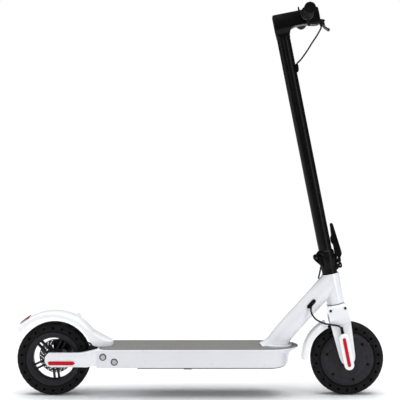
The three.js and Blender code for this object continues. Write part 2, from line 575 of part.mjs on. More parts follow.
// ---------------------------------------------------------------- stem and head
function buildStem() {
  const tube = solid(turnedZ([[STEM.bore, STEM.low], [STEM.radius, STEM.low],
    [STEM.radius, STEM.top], [STEM.bore, STEM.top]]));
  place('stem_tube', cut(tube, stemCord(CORD.radius + GAP)), 'black', front);

  const side = outline([[HEAD.back, HEAD.low - 8, 3], [HEAD.back, HEAD.top, 3], [HEAD.front, HEAD.top, 4],
    [HEAD.front, 977, 5], [96, 976], [70, HEAD.low], [36, HEAD.low], [25, HEAD.low - 6],
    [20, HEAD.low - 22], [0, HEAD.low - 26], [HEAD.back, HEAD.low - 22]]);
  const across = outline([[-HEAD.half, 900], [-HEAD.half, HEAD.top, 5], [HEAD.half, HEAD.top, 5],
    [HEAD.half, 900]]);
  const neckDown = outline([[-20.6, 900], [-20.6, 972], [-HEAD.half, 982], [-HEAD.half, 1100],
    [HEAD.half, 1100], [HEAD.half, 982], [20.6, 972], [20.6, 900]]);
  const shellBody = solid(slabY(side, -40, 40))
    .intersect(solid(slabX(across, -60, 140)))
    .intersect(solid(slabX(neckDown, -60, 140)));
  const head = cut(
    join(shellBody,
      solid(rodZ(HEAD.sleeve, STEM.top + 0.4, 990, 0, 0, TUBE_SIDES)),
      solid(rodZ(STEM.spigot, STEM.top - 20, 970, 0, 0, TUBE_SIDES))),
    solid(rodY(BAR.radius + GAP, -60, 60, BAR.v, BAR.t, TUBE_SIDES)),
    solid(block(6, 58, -25, 25, 990, 1040)),
    solid(rodZ(BUTTON.room, HEAD.top + BUTTON.low - 1.8, HEAD.top + 10, BUTTON.v, 0)),
    solid(slabX(outline([[-20, 989, 6], [20, 989, 6], [20, 1019, 6], [-20, 1019, 6]]), 110, 130)));
  place('stem_head', head, 'black', front);
  place('headlight_lens', solid(slabX(outline([[-19.7, 989.3, 6], [19.7, 989.3, 6], [19.7, 1018.7, 6],
    [-19.7, 1018.7, 6]]), 110.3, 116)), 'lens', front);
  place('dashboard', cut(
    solid(slabZ(outline([[-17, -26, 6], [108, -26, 6], [108, 26, 6], [-17, 26, 6]]), HEAD.top + GAP,
      HEAD.top + 2.5)),
    solid(rodZ(BUTTON.room, HEAD.top - 20, HEAD.top + 20, BUTTON.v, 0))), 'black', front);
  const { radius, low, top, v } = BUTTON;
  place('power_button', solid(rodZ(radius, HEAD.top + low, HEAD.top + top, v, 0)), 'dark', front);
}

// ---------------------------------------------------------------- handlebar
function aboutBar(profile, sides = TUBE_SIDES) {
  return solid(turnedY(profile, BAR.v, BAR.t, sides));
}

function collar(radius, y0, y1) {
  const bore = BAR.radius + GAP;
  return aboutBar([[bore, y0], [radius, y0], [radius, y1], [bore, y1]]);
}

function buildHandlebar() {
  place('handlebar', aboutBar([[BAR.bore, -BAR.half], [BAR.radius, -BAR.half], [BAR.radius, BAR.half],
    [BAR.bore, BAR.half]]), 'black', front);
  const { inner, outer, radius } = GRIP;
  SIDES.forEach(([name, sign]) => {
    place(`grip_${name}`, aboutBar([[0, sign * (BAR.half + GAP)],
      [BAR.radius + GAP, sign * (BAR.half + GAP)], [BAR.radius + GAP, sign * inner], [radius, sign * inner],
      [radius, sign * (outer - 2)], [13, sign * outer], [0, sign * outer]]), 'rubber', front);
  });

  place('throttle', join(collar(19, -92.5, -76),
    solid(block(BAR.v - 5, BAR.v + 3, -92, -78, BAR.t - 38, BAR.t - 16))), 'dark', front);

  const post = solid(rodZ(5, BAR.t + 4, 1022, 82, 53));
  const dome = solid(turnedZ([[0, 1021], [14, 1021], [14, 1025], [11, 1031], [6, 1034], [0, 1034.6]],
    84, 53, TUBE_SIDES));
  const lug = solid(block(61, 67, 47, 51, BAR.t, 1027));
  const pin = solid(rodY(1.5, 47, 56, 64, 1024.5));
  place('bell', cut(join(collar(14.5, 46, 60), post, dome, lug, pin),
    solid(rodY(BAR.radius + GAP, 40, 70, BAR.v, BAR.t, TUBE_SIDES))), 'black', front);
  place('bell_striker', cut(
    join(solid(rodY(3.2, 51.4, 55, 64, 1024.5)),
      solid(slabY(outline([[62, 1024], [66, 1024], [66.5, 1044, 1], [63, 1046, 1]]), 51.4, 55))),
    solid(rodY(1.8, 40, 70, 64, 1024.5))), 'steel', front);
}

function buildBrakeLever() {
  const ringBore = BAR.radius + GAP;
  const arm = outline([[8, 72], [46, 79, 4], [60, 82, 5], [66, 92, 5], [60, 101, 5], [30, 90, 6], [8, 88]]);
  const bracket = cut(
    join(
      solid(turnedY([[ringBore, 70], [16, 70], [16, 89], [ringBore, 89]], 0, 0, TUBE_SIDES)),
      solid(slabZ(arm, -8, 8)),
      solid(rodZ(4.5, -14, -6, 55, 84))),
    solid(rodY(ringBore, 60, 110, 0, 0, TUBE_SIDES)),
    solid(block(44, 80, 84, 120, -LEVER.half - GAP, LEVER.half + GAP)));
  place('brake_bracket', bracket.add(solid(rodZ(2.2, -8, 8, LEVER.x, LEVER.y))), 'black', lever);
  const blade = [[58, 95, 0], [60, 104, -0.5], [63, 118, -5], [67, 134, -8.2], [75, 160, -9.6],
    [83, 183, -10]];
  place('brake_lever', cut(
    join(solid(rodZ(LEVER.root, -LEVER.half, LEVER.half, LEVER.x, LEVER.y)),
      solid(swept(blade, LEVER.half, 5.5, 9, 12)),
      solid(new THREE.SphereGeometry(5.6, 10, 6).translate(84, 185, -10))),
    solid(rodZ(2.5, -20, 20, LEVER.x, LEVER.y))), 'black', lever);
}

// ---------------------------------------------------------------- cables
function buildCables() {
  const grommet = outline([[12, 852, 3], [24, 852, 5], [27, 862, 4], [27, 876.5, 2], [12, 876.5]]);
  place('stem_grommet', cut(
    solid(slabY(grommet, -6, 6)),
    solid(rodZ(STEM.radius + GAP, 800, 900, 0, 0, TUBE_SIDES)),
    stemCord(CORD.radius + GAP)), 'black', front);
  place('brake_cable', stemCord(CORD.radius), 'black', front);
  const lowerRoute = [[-20.5, 0, 283], [-22.7, 0, 277.5], [-25.7, 0, 270], [-29, 0, 262], [-32.6, 0, 254],
    [-36, 0, 246.8]];
  place('lower_brake_cable', solid(swept(lowerRoute, CORD.radius, CORD.radius, 10, 8)), 'black', front);

  const gland = solid(slabY(capsule(0, -16.5, 16.5, 5.5), -34, -14)
    .rotateY(THREE.MathUtils.degToRad(42)).translate(325, 0, 271));
  place('cable_gland', cut(gland, neckSolid(GAP)), 'black');
  const motorRoute = [[324.2, -37.4, 262.4], [322.8, -39, 253.4], [326.8, -42, 241.2], [336.5, -48, 229.2],
    [350.6, -55, 222.1], [364.6, -60.5, 218], [381.7, -62.5, 215.4], [396, -62.5, 213.2],
    [406.1, -62, 208.6], [410.6, -60.5, 199], [412, -60, 191.5]];
  place('motor_cable', solid(swept(motorRoute, CORD.motor, CORD.motor, 30, 8)), 'black');
}

// ---------------------------------------------------------------- kickstand
function buildKickstand() {
  const { x, y, z, length, radius, barrel } = KICK;
  const along = (s) => [x, y + 0.75 * s, z + 0.6617 * s];
  place('kickstand_bracket', join(
    cut(
      join(solid(block(x - 20, x + 20, 44, 76, 85.4, 89.1)), solid(block(x - 12, x + 12, 44, 54, 62, 87))),
      solid(rod(barrel + 0.7, along(4.7), along(30)))),
    solid(rod(3, along(-2), along(22)))), 'black');
  const [px, py, pz] = along(12);
  place('kickstand', cut(
    join(solid(rod(barrel, along(5), along(19))),
      solid(rod(radius, [px - 3, py, pz], [px - length, py, pz])),
      solid(new THREE.SphereGeometry(7, 10, 6).translate(px - length, py, pz))),
    solid(rod(3.4, along(-10), along(40)))), 'black');
}

buildDeck();
buildHeadTube();
buildRearArms();
buildRearFender();
buildBrake();
buildWheels();
buildFork();
buildFoldingJoint();
buildStem();
buildHandlebar();
buildBrakeLever();
buildCables();
buildKickstand();

export default scooter;
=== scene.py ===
"""Folding electric kick scooter: the looks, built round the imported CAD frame.

Shapes are written in millimetres and made in metres. Places on the steering axis are given in the
steering frame: x forward from the axis, y to the rider's left, z up the axis from the front axle.
"""
import json
from math import copysign, cos, hypot, pi, radians, sin

import bmesh
import bpy
from mathutils import Matrix, Vector


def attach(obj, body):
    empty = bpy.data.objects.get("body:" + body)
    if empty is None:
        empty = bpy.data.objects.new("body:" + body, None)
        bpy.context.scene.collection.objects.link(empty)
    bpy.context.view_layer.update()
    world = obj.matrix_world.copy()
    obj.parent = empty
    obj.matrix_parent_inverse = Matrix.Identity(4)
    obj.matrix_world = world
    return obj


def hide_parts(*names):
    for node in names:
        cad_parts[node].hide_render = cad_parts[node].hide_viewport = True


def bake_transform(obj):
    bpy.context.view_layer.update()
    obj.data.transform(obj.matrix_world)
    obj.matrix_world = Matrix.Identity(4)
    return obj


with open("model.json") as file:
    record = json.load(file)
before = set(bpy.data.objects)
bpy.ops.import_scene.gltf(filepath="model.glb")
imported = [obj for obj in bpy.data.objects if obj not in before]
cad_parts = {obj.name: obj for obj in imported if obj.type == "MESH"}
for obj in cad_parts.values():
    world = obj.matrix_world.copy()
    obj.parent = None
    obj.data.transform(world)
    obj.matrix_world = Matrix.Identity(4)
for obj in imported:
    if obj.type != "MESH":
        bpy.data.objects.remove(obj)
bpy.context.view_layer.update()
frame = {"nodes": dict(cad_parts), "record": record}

MM = 0.001
TURN = 2 * pi
ROW = Matrix.Identity(4)
MIRROR = Matrix.Scale(-1, 4, (0, 1, 0))


def shift(x, y, z):
    return Matrix.Translation(Vector((x, y, z)) * MM)


def turned(degrees, axis):
    return Matrix.Rotation(radians(degrees), 4, axis)


# ------------------------------------------------------------------ driving dimensions, mm
RAKE = 11.3
REAR_X, FRONT_X, AXLE_Z = -431.0, 431.0, 107.5
REAR_AXLE, FRONT_AXLE = (REAR_X, 0, AXLE_Z), (FRONT_X, 0, AXLE_Z)
TYRE_R, TYRE_HALF, RIM_R = 107.15, 25.0, 78.7
DECK_BACK, DECK_STRAIGHT, DECK_NOSE = -297.0, 202.0, 289.0
DECK_HALF, DECK_LOW, DECK_TOP = 77.0, 92.0, 145.0
NECK_FOOT_X = 225
HEAD_TUBE_LOW, HEAD_TUBE_TOP, HEAD_TUBE_R = 164.6, 253.9, 26.0
HINGE, LEVER_PIVOT, HOOK_PIVOT = (-31.0, 0, 308.0), (30, 0, 297), (28, 0, 281)
STEM_R = 19.75
BAR_X, BAR_Z, BAR_R = 75.0, 1007.0, 11.1
BAR, BUTTON, ORIGIN = (BAR_X, 0, BAR_Z), (-6, 0, 0), (0, 0, 0)
HEAD_TOP = 1023.5
FENDER_HALF, FENDER_WALL = 32.5, 2.6
AMBIENT, REFLECTED, TOP_LIGHT, TOP_SPREAD = 0.27, 0.06, 3.0, 60
CAMERA_PLACE, CAMERA_LENS = (0.113, -3.09, 0.751), 94.8
CAMERA_PITCH, CAMERA_YAW, CAMERA_SHIFT = 1.987, 0.229, (-0.1076, -0.06)

FRONT = shift(FRONT_X, 0, AXLE_Z) @ turned(-RAKE, "Y")
LEVER = FRONT @ shift(BAR_X, 0, BAR_Z) @ turned(17.4, "Y")
SIDES = (("right", -1), ("left", 1))


# ------------------------------------------------------------------ mesh helpers
def in_scene(name, data):
    obj = bpy.data.objects.new(name, data)
    bpy.context.scene.collection.objects.link(obj)
    return obj


def mesh_object(name, bm, place=ROW):
    bmesh.ops.recalc_face_normals(bm, faces=bm.faces)
    bm.transform(Matrix.Scale(MM, 4))
    bm.transform(place)
    mesh = bpy.data.meshes.new(name)
    bm.to_mesh(mesh)
    bm.free()
    return in_scene(name, mesh)


def rounded(points, steps=5, closed=True):
    """Points (a, b) or (a, b, corner radius) as a list of (a, b), each corner turned on a curve."""
    out = []
    for i, point in enumerate(points):
        corner = Vector(point[:2])
        radius = point[2] if len(point) > 2 else 0
        inner = closed or 0 < i < len(points) - 1
        if not radius or not inner:
            out.append(corner)
            continue
        before = Vector(points[i - 1][:2]) - corner
        after = Vector(points[(i + 1) % len(points)][:2]) - corner
        reach = min(radius, 0.48 * before.length, 0.48 * after.length)
        start, end = corner + before.normalized() * reach, corner + after.normalized() * reach
        for k in range(steps + 1):
            f = k / steps
            out.append(start * (1 - f) ** 2 + corner * 2 * f * (1 - f) + end * f * f)
    return out


def to_axis(a, b, along, axis):
    """A point of an outline (a, b) and its place along the axis, as x, y, z."""
    return {"X": (along, a, b), "Y": (a, along, b), "Z": (a, b, along)}[axis]


def skin(bm, rings, closed=True):
    """Faces between each ring of points and the next one."""
    count = len(rings[0])
    for here, there in zip(rings, rings[1:]):
        for i in range(count if closed else count - 1):
            j = (i + 1) % count
            bm.faces.new((here[i], here[j], there[j], there[i]))


def round_rims(bm, caps, width, steps):
    edges = list({edge for cap in caps for edge in cap.edges})
    bmesh.ops.bevel(bm, geom=edges, offset=width, segments=steps, profile=0.5, affect="EDGES",
                    clamp_overlap=True)


def slab(name, points, low, high, axis="Y", place=ROW, bevel=0.0, steps=3, curve=5):
    """An outline drawn out along an axis, with its two rims rounded."""
    bm = bmesh.new()
    shape = rounded(points, curve)
    rings = [[bm.verts.new(to_axis(p[0], p[1], at, axis)) for p in shape] for at in (low, high)]
    caps = [bm.faces.new(ring) for ring in rings]
    skin(bm, rings)
    if bevel:
        round_rims(bm, caps, bevel, steps)
    return smooth(mesh_object(name, bm, place))


def lathe(name, profile, sides=96, axis="Y", centre=(0, 0, 0), place=ROW, curve=5, span=None, warp=None):
    """A profile of (radius, along, corner radius) turned about an axis; span is an arc in degrees."""
    on_axis = profile[0][0] == 0
    shape = rounded(profile, curve, closed=not on_axis)
    bm = bmesh.new()
    first, last = span or (0, 360)
    rings = []
    for i in range(sides + 1 if span else sides):
        angle = radians(first + (last - first) * i / sides)
        ring = []
        for radius, along in shape:
            if warp:
                radius = warp(i, radius, along)
            a, b = radius * cos(angle), radius * sin(angle)
            ring.append(bm.verts.new(to_axis(a, b, along, axis)))
        rings.append(ring)
    if span:
        skin(bm, rings, not on_axis)
        bm.faces.new(rings[0])
        bm.faces.new(rings[-1])
    else:
        skin(bm, rings + rings[:1], not on_axis)
    bmesh.ops.remove_doubles(bm, verts=bm.verts, dist=1e-4)
    bmesh.ops.dissolve_degenerate(bm, edges=bm.edges, dist=1e-5)
    return smooth(mesh_object(name, bm, place @ shift(*centre)))


def rod(name, radius, low, high, centre, sides=40, axis="Y", place=FRONT, edge=0):
    """A plain cylinder from low to high along an axis, with its two rims rounded by edge."""
    profile = [(0, low), (radius, low, edge), (radius, high, edge), (0, high)]
    return lathe(name, profile, sides, axis, centre, place)


def both_halves(half):
    """A profile whose second half mirrors its first one."""
    return half + [(radius, -along, *edge) for radius, along, *edge in half[::-1]]


def on_side(sign, near, far):
    """Two places across the scooter, lowest first, on the side of the sign."""
    return sorted((sign * near, sign * far))


def spline(points, steps):
    """A smooth run through points, with some steps between each pair."""
    pts = [Vector(p) for p in points]
    pts = [pts[0] * 2 - pts[1]] + pts + [pts[-1] * 2 - pts[-2]]
    out = []
    for i in range(1, len(pts) - 2):
        a, b, c, d = pts[i - 1:i + 3]
        for k in range(steps):
            f = k / steps
            out.append(0.5 * (2 * b + (c - a) * f + (2 * a - 5 * b + 4 * c - d) * f * f
                              + (3 * b - a - 3 * c + d) * f ** 3))
    out.append(pts[-2])
    return out


def sweep(name, points, size, place=ROW, sides=16, steps=6, side=(0, 1, 0), power=2.0, round_end=0.0):
    """A section drawn along a smooth line. size is a radius, or a function of 0..1 to two half sizes."""
    path = spline(points, steps)
    bm = bmesh.new()
    across = Vector(side)
    rings = []
    for i, at in enumerate(path):
        ahead = (path[min(i + 1, len(path) - 1)] - path[max(i - 1, 0)]).normalized()
        across = (across - ahead * across.dot(ahead)).normalized()
        deep = ahead.cross(across)
        half = size(i / (len(path) - 1)) if callable(size) else (size, size)
        ring = []
        for k in range(sides):
            c, s = cos(TURN * k / sides), sin(TURN * k / sides)
            u = copysign(abs(c) ** (2 / power), c) * half[0]
            w = copysign(abs(s) ** (2 / power), s) * half[1]
            ring.append(bm.verts.new(at + across * u + deep * w))
        rings.append(ring)
    skin(bm, rings)
    caps = [bm.faces.new(rings[0]), bm.faces.new(rings[-1])]
    if round_end:
        round_rims(bm, caps, round_end, 4)
    return smooth(mesh_object(name, bm, place))


def box(name, x0, x1, y0, y1, z0, z1, place=ROW, bevel=1.0):
    outline = [(x0, y0), (x1, y0), (x1, y1), (x0, y1)]
    return slab(name, outline, z0, z1, "Z", place, bevel)


def ball(name, centre, radius, place=ROW):
    bm = bmesh.new()
    bmesh.ops.create_uvsphere(bm, u_segments=32, v_segments=16, radius=radius)
    bm.transform(Matrix.Translation(centre))
    return smooth(mesh_object(name, bm, place))


def smooth(obj, degrees=38):
    obj.data.polygons.foreach_set("use_smooth", [True] * len(obj.data.polygons))
    obj.data.set_sharp_from_angle(angle=radians(degrees))
    return obj


def bake(obj):
    """Turns an object's modifiers into mesh."""
    graph = bpy.context.evaluated_depsgraph_get()
    mesh = bpy.data.meshes.new_from_object(obj.evaluated_get(graph), depsgraph=graph)
    old = obj.data
    obj.modifiers.clear()
    obj.data = mesh
    bpy.data.meshes.remove(old)
    return obj


def drop(obj):
    mesh = obj.data
    bpy.data.objects.remove(obj)
    bpy.data.meshes.remove(mesh)


def combine(body, tools, how):
    for tool in tools:
        modifier = body.modifiers.new(how, "BOOLEAN")
        modifier.operation = how
        modifier.solver = "EXACT"
        modifier.object = tool
        bake(body)
        drop(tool)
    return smooth(body)


def cut(body, *tools):
    return combine(body, tools, "DIFFERENCE")


def fuse(body, *tools):
    return combine(body, tools, "UNION")


def soften(obj, width, segments=2, degrees=40):
    """Rounds an object's sharp edges."""
    modifier = obj.modifiers.new("soften", "BEVEL")
    modifier.width = width * MM
    modifier.segments = segments
    modifier.limit_method = "ANGLE"
    modifier.angle_limit = radians(degrees)
    modifier.use_clamp_overlap = True
    bake(obj)
    return smooth(obj)


def gather(name, objects):
    """Several loose shells as one object."""
    bm = bmesh.new()
    for obj in objects:
        bm.from_mesh(obj.data)
    mesh = bpy.data.meshes.new(name)
    bm.to_mesh(mesh)
    bm.free()
    for obj in objects:
        drop(obj)
    return smooth(in_scene(name, mesh))


def capsule(x, low, top, half, steps=14):
    """A standing slot outline with round ends."""
    points = []
    for centre, start in ((low + half, pi), (top - half, 0)):
        for k in range(steps + 1):
            angle = start + pi * k / steps
            points.append((x + half * cos(angle), centre + half * sin(angle)))
    return points


def circle(x, z, radius, steps=48):
    return [(x + radius * cos(TURN * k / steps), z + radius * sin(TURN * k / steps))
            for k in range(steps)]


def round_axle(x, radius, angle):
    """A point round the axle at x, as x and z."""
    return x + radius * cos(angle), AXLE_Z + radius * sin(angle)


# ------------------------------------------------------------------ looks
LOOKS = {}


class Look:
    """A material kept in LOOKS, with the principled shader's colour, roughness and bump built up."""

    def __init__(self, name, colour, roughness, **sockets):
        self.material = LOOKS[name] = bpy.data.materials.new(name)
        self.material.use_nodes = True
        self.tree = self.material.node_tree
        self.shader = self.tree.nodes["Principled BSDF"]
        self.shader.inputs["Base Color"].default_value = (*colour, 1)
        self.shader.inputs["Roughness"].default_value = roughness
        for key, value in sockets.items():
            self.shader.inputs[key.replace("_", " ")].default_value = value
        self.normal = None

    def node(self, kind, **inputs):
        made = self.tree.nodes.new(kind)
        for key, value in inputs.items():
            socket = made.inputs[key.replace("_", " ")]
            if isinstance(value, bpy.types.NodeSocket):
                self.tree.links.new(value, socket)
            else:
                socket.default_value = value
        return made

    def coordinates(self, stretch=(1, 1, 1)):
        source = self.tree.nodes.new("ShaderNodeTexCoord").outputs["Object"]
        return self.node("ShaderNodeMapping", Vector=source, Scale=stretch).outputs[0]

    def noise(self, scale, detail=3.0, stretch=(1, 1, 1)):
        return self.node("ShaderNodeTexNoise", Vector=self.coordinates(stretch), Scale=scale,
                         Detail=detail).outputs["Fac"]

    def cells(self, scale):
        return self.node("ShaderNodeTexVoronoi", Vector=self.coordinates(),
                         Scale=scale).outputs["Distance"]

    def spread(self, value, low, high, start=0.3, stop=0.7):
        return self.node("ShaderNodeMapRange", Value=value, From_Min=start, From_Max=stop, To_Min=low,
                         To_Max=high).outputs[0]

    def colours(self, value, first, second, start=0.35, stop=0.65):
        factor = self.spread(value, 0.0, 1.0, start, stop)
        mix = self.tree.nodes.new("ShaderNodeMix")
        mix.data_type = "RGBA"
        self.tree.links.new(factor, mix.inputs["Factor"])
        for socket in mix.inputs:
            if socket.type == "RGBA":
                socket.default_value = (*(first if socket.name == "A" else second), 1)
        result = [s for s in mix.outputs if s.type == "RGBA"][0]
        self.tree.links.new(result, self.shader.inputs["Base Color"])

    def rough(self, noise, low, high):
        value = self.spread(self.noise(*noise), low, high)
        self.tree.links.new(value, self.shader.inputs["Roughness"])

    def bump(self, height, distance, strength=1.0):
        """Bumps of a depth in millimetres, laid over those made before."""
        inputs = {"Height": height, "Distance": distance * MM, "Strength": strength}
        if self.normal:
            inputs["Normal"] = self.normal
        self.normal = self.node("ShaderNodeBump", **inputs).outputs[0]
        self.tree.links.new(self.normal, self.shader.inputs["Normal"])


def make_looks():
    look = Look("white_paint", (0.77, 0.785, 0.82), 0.24, Coat_Weight=0.6, Coat_Roughness=0.06)
    look.colours(look.noise(9), (0.755, 0.77, 0.805), (0.79, 0.8, 0.83))
    look.rough((40, 5), 0.2, 0.3)
    look.bump(look.noise(900, 2), 0.02, 0.35)

    # A darker copy of white_paint for the deck shell, whose slot is white_paint: painted shade on the deck's
    # side.
    look = Look("shaded_deck_paint", (0.69, 0.705, 0.74), 0.3, Coat_Weight=0.4, Coat_Roughness=0.1)
    look.colours(look.noise(9), (0.67, 0.685, 0.72), (0.7, 0.71, 0.745))
    look.rough((40, 5), 0.26, 0.36)
    look.bump(look.noise(900, 2), 0.02, 0.35)

    look = Look("white_plastic", (0.87, 0.875, 0.89), 0.3, Coat_Weight=0.3, Coat_Roughness=0.1)
    look.colours(look.noise(14), (0.855, 0.86, 0.875), (0.885, 0.89, 0.9))
    look.rough((60, 5), 0.26, 0.36)
    look.bump(look.noise(1400, 2), 0.015, 0.4)

    look = Look("black_paint", (0.003, 0.003, 0.0035), 0.3, Specular_IOR_Level=0.13)
    look.colours(look.noise(25, 4), (0.0022, 0.0022, 0.0026), (0.004, 0.004, 0.0044))
    look.rough((90, 6), 0.27, 0.38)
    look.bump(look.noise(1600, 2), 0.02, 0.5)

    look = Look("dark_cast", (0.02, 0.018, 0.022), 0.5, Specular_IOR_Level=0.2)
    look.colours(look.noise(60, 5), (0.014, 0.0125, 0.016), (0.02, 0.0185, 0.0225))
    look.rough((150, 6), 0.38, 0.55)
    look.bump(look.noise(1100, 4), 0.05, 0.5)

    look = Look("black_plastic", (0.008, 0.008, 0.0085), 0.5, Specular_IOR_Level=0.3)
    look.colours(look.noise(30, 4), (0.006, 0.006, 0.0065), (0.01, 0.01, 0.0105))
    look.rough((120, 5), 0.42, 0.6)
    look.bump(look.cells(1500), 0.04, 0.5)

    look = Look("display_glass", (0.004, 0.004, 0.005), 0.08, Coat_Weight=1.0, Coat_Roughness=0.03)
    look.colours(look.noise(12), (0.003, 0.003, 0.004), (0.006, 0.006, 0.007))
    look.rough((70, 6), 0.06, 0.14)

    look = Look("grip_rubber", (0.0035, 0.0035, 0.004), 0.7, Specular_IOR_Level=0.09)
    look.colours(look.noise(80, 5), (0.0025, 0.0025, 0.0028), (0.005, 0.005, 0.0055))
    look.rough((200, 5), 0.6, 0.85)
    look.bump(look.noise(2200, 3), 0.05, 0.6)

    look = Look("tyre_rubber", (0.005, 0.005, 0.0055), 0.75, Specular_IOR_Level=0.15)
    look.colours(look.noise(45, 7), (0.0045, 0.0045, 0.005), (0.009, 0.009, 0.009))
    look.rough((140, 6), 0.62, 0.9)
    look.bump(look.noise(260, 5), 0.12, 0.35)
    look.bump(look.noise(1800, 3), 0.06, 0.6)

    look = Look("mat_rubber", (0.16, 0.155, 0.15), 0.85, Specular_IOR_Level=0.25)
    height = look.node("ShaderNodeSeparateXYZ", Vector=look.coordinates()).outputs["Z"]
    # Stud tops painted lighter and the floor between them darker, by height above the deck: painted
    # highlight and painted shade.
    stud_top_highlight = look.spread(height, 0.0, 1.0, (DECK_TOP + 0.45) * MM, (DECK_TOP + 1.1) * MM)
    look.colours(stud_top_highlight, (0.125, 0.123, 0.12), (0.31, 0.304, 0.295), 0.0, 1.0)
    look.rough((180, 5), 0.75, 0.95)
    look.bump(look.noise(1500, 4), 0.12, 0.7)

    look = Look("red_reflector", (0.42, 0.006, 0.012), 0.35, Specular_IOR_Level=0.1)
    look.colours(look.cells(420), (0.34, 0.004, 0.01), (0.52, 0.01, 0.018), 0.1, 0.5)
    look.bump(look.cells(420), 0.3, 0.4)

    look = Look("tail_lens", (0.13, 0.006, 0.01), 0.3, Specular_IOR_Level=0.2)
    look.colours(look.cells(300), (0.09, 0.004, 0.008), (0.19, 0.01, 0.016), 0.1, 0.5)
    look.bump(look.cells(300), 0.3, 0.3)

    look = Look("bare_steel", (0.5, 0.5, 0.51), 0.3, Metallic=1.0)
    look.colours(look.noise(90, 6), (0.42, 0.42, 0.43), (0.56, 0.56, 0.57))
    look.rough((300, 5, (1, 1, 8)), 0.24, 0.42)
    look.bump(look.noise(1200, 3, (1, 1, 12)), 0.02, 0.4)

    # A darker copy of bare_steel, used on the brake rotor and the hinge pin, whose slots are bare_steel; on
    # the rotor the darkening is painted shade inside the wheel.
    look = Look("dark_and_shaded_steel", (0.09, 0.09, 0.095), 0.42, Metallic=0.9)
    look.colours(look.noise(90, 6), (0.06, 0.06, 0.063), (0.12, 0.12, 0.125))
    look.rough((300, 5, (1, 1, 8)), 0.35, 0.5)
    look.bump(look.noise(1200, 3, (1, 1, 12)), 0.02, 0.4)

    look = Look("clear_lens", (0.75, 0.78, 0.8), 0.06, Coat_Weight=1.0, Coat_Roughness=0.02)
    look.colours(look.cells(260), (0.55, 0.58, 0.6), (0.85, 0.87, 0.88), 0.05, 0.45)
    look.bump(look.cells(260), 0.3, 0.35)

    look = Look("cable_sheath", (0.006, 0.006, 0.006), 0.48, Specular_IOR_Level=0.3)
    look.colours(look.noise(60, 4), (0.005, 0.005, 0.005), (0.009, 0.009, 0.009))
    look.rough((240, 4), 0.4, 0.58)
    look.bump(look.noise(1500, 3), 0.03, 0.5)

    look = Look("battery_wrap", (0.03, 0.08, 0.18), 0.35)
    look.colours(look.noise(50, 5), (0.02, 0.06, 0.14), (0.05, 0.11, 0.22))
    look.bump(look.noise(120, 5), 0.2, 0.4)


def add(obj, body, look, *nodes, slot=None):
    """Hands a finished piece to the frame: its look, its body and the CAD nodes it stands for."""
    obj.data.materials.clear()
    obj.data.materials.append(LOOKS[look])
    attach(obj, body)
    if nodes:
        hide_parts(*nodes)


# ------------------------------------------------------------------ camera, light and floor
def make_camera():
    """Square on to the scooter's side, from a little ahead of its middle, with a shifted lens."""
    camera = in_scene("camera", bpy.data.cameras.new("camera"))
    camera.location = CAMERA_PLACE
    camera.rotation_euler = (radians(90 - CAMERA_PITCH), 0, radians(-CAMERA_YAW))
    camera.data.sensor_width = 36
    camera.data.lens = CAMERA_LENS
    camera.data.shift_x, camera.data.shift_y = CAMERA_SHIFT
    bpy.context.scene.camera = camera


def area_light(name, location, aim, size, power):
    light = bpy.data.lights.new(name, "AREA")
    light.shape = "RECTANGLE"
    light.size, light.size_y = size
    light.energy = power
    obj = in_scene(name, light)
    obj.location = location
    obj.rotation_euler = (Vector(aim) - Vector(location)).to_track_quat("-Z", "Y").to_euler()


def make_world():
    """Plain white behind the object, a dim even light from all round it and dim reflections."""
    world = bpy.data.worlds.new("studio")
    bpy.context.scene.world = world
    world.use_nodes = True
    tree = world.node_tree
    path = tree.nodes.new("ShaderNodeLightPath")
    shader = tree.nodes["Background"]
    shader.inputs["Color"].default_value = (0.95, 0.975, 1.0, 1)
    shader.inputs["Strength"].default_value = AMBIENT
    for ray, strength in (("Is Glossy Ray", REFLECTED), ("Is Camera Ray", 1.0)):
        other = tree.nodes.new("ShaderNodeBackground")
        other.inputs["Color"].default_value = (1, 1, 1, 1)
        other.inputs["Strength"].default_value = strength
        mix = tree.nodes.new("ShaderNodeMixShader")
        tree.links.new(path.outputs[ray], mix.inputs[0])
        tree.links.new(shader.outputs[0], mix.inputs[1])
        tree.links.new(other.outputs[0], mix.inputs[2])
        shader = mix
    tree.links.new(shader.outputs[0], tree.nodes["World Output"].inputs["Surface"])


def make_studio():
    scene = bpy.context.scene
    scene.view_settings.view_transform = "Standard"
    scene.view_settings.look = "None"
    make_world()

    floor = slab("floor", [(-9000, -1500), (9000, -1500), (9000, 9000), (-9000, 9000)], -20, 0, "Z")
    look = Look("floor", (0.9, 0.9, 0.905), 0.7, Specular_IOR_Level=0.2)
    look.colours(look.noise(2.5, 2), (0.895, 0.895, 0.9), (0.905, 0.905, 0.91))
    look.bump(look.noise(90, 2), 0.05, 0.1)
    floor.data.materials.append(look.material)

    top = bpy.data.lights.new("top", "SUN")
    top.energy = TOP_LIGHT
    top.angle = radians(TOP_SPREAD)
    in_scene("top", top).location = (0, 0, 4)
    area_light("side", (1.9, -1.5, 1.7), (0.3, 0, 1.5), (0.25, 3.4), 26)
    area_light("front", (-0.8, -3.4, 1.8), (0, 0, 0.4), (1.2, 0.8), 11)
    area_light("left", (-2.2, -0.6, 1.0), (-0.2, 0, 0.4), (0.5, 1.6), 8)


# ------------------------------------------------------------------ wheels
def hex_screw(name, at, radius, height, place=ROW, sink=0.55):
    """A button screw head standing on a face, pointing along -Y, with a hexagon socket."""
    x, y, z = at
    head = lathe(name, [(0, 0), (radius, 0), (radius, -height, height * 0.6), (0, -height)], 32, "Y",
                 at, place, 4)
    socket = slab(name + "_socket", circle(x, z, radius * 0.5, 6), y - height - 1, y - height * sink, "Y",
                  place)
    return cut(head, socket)


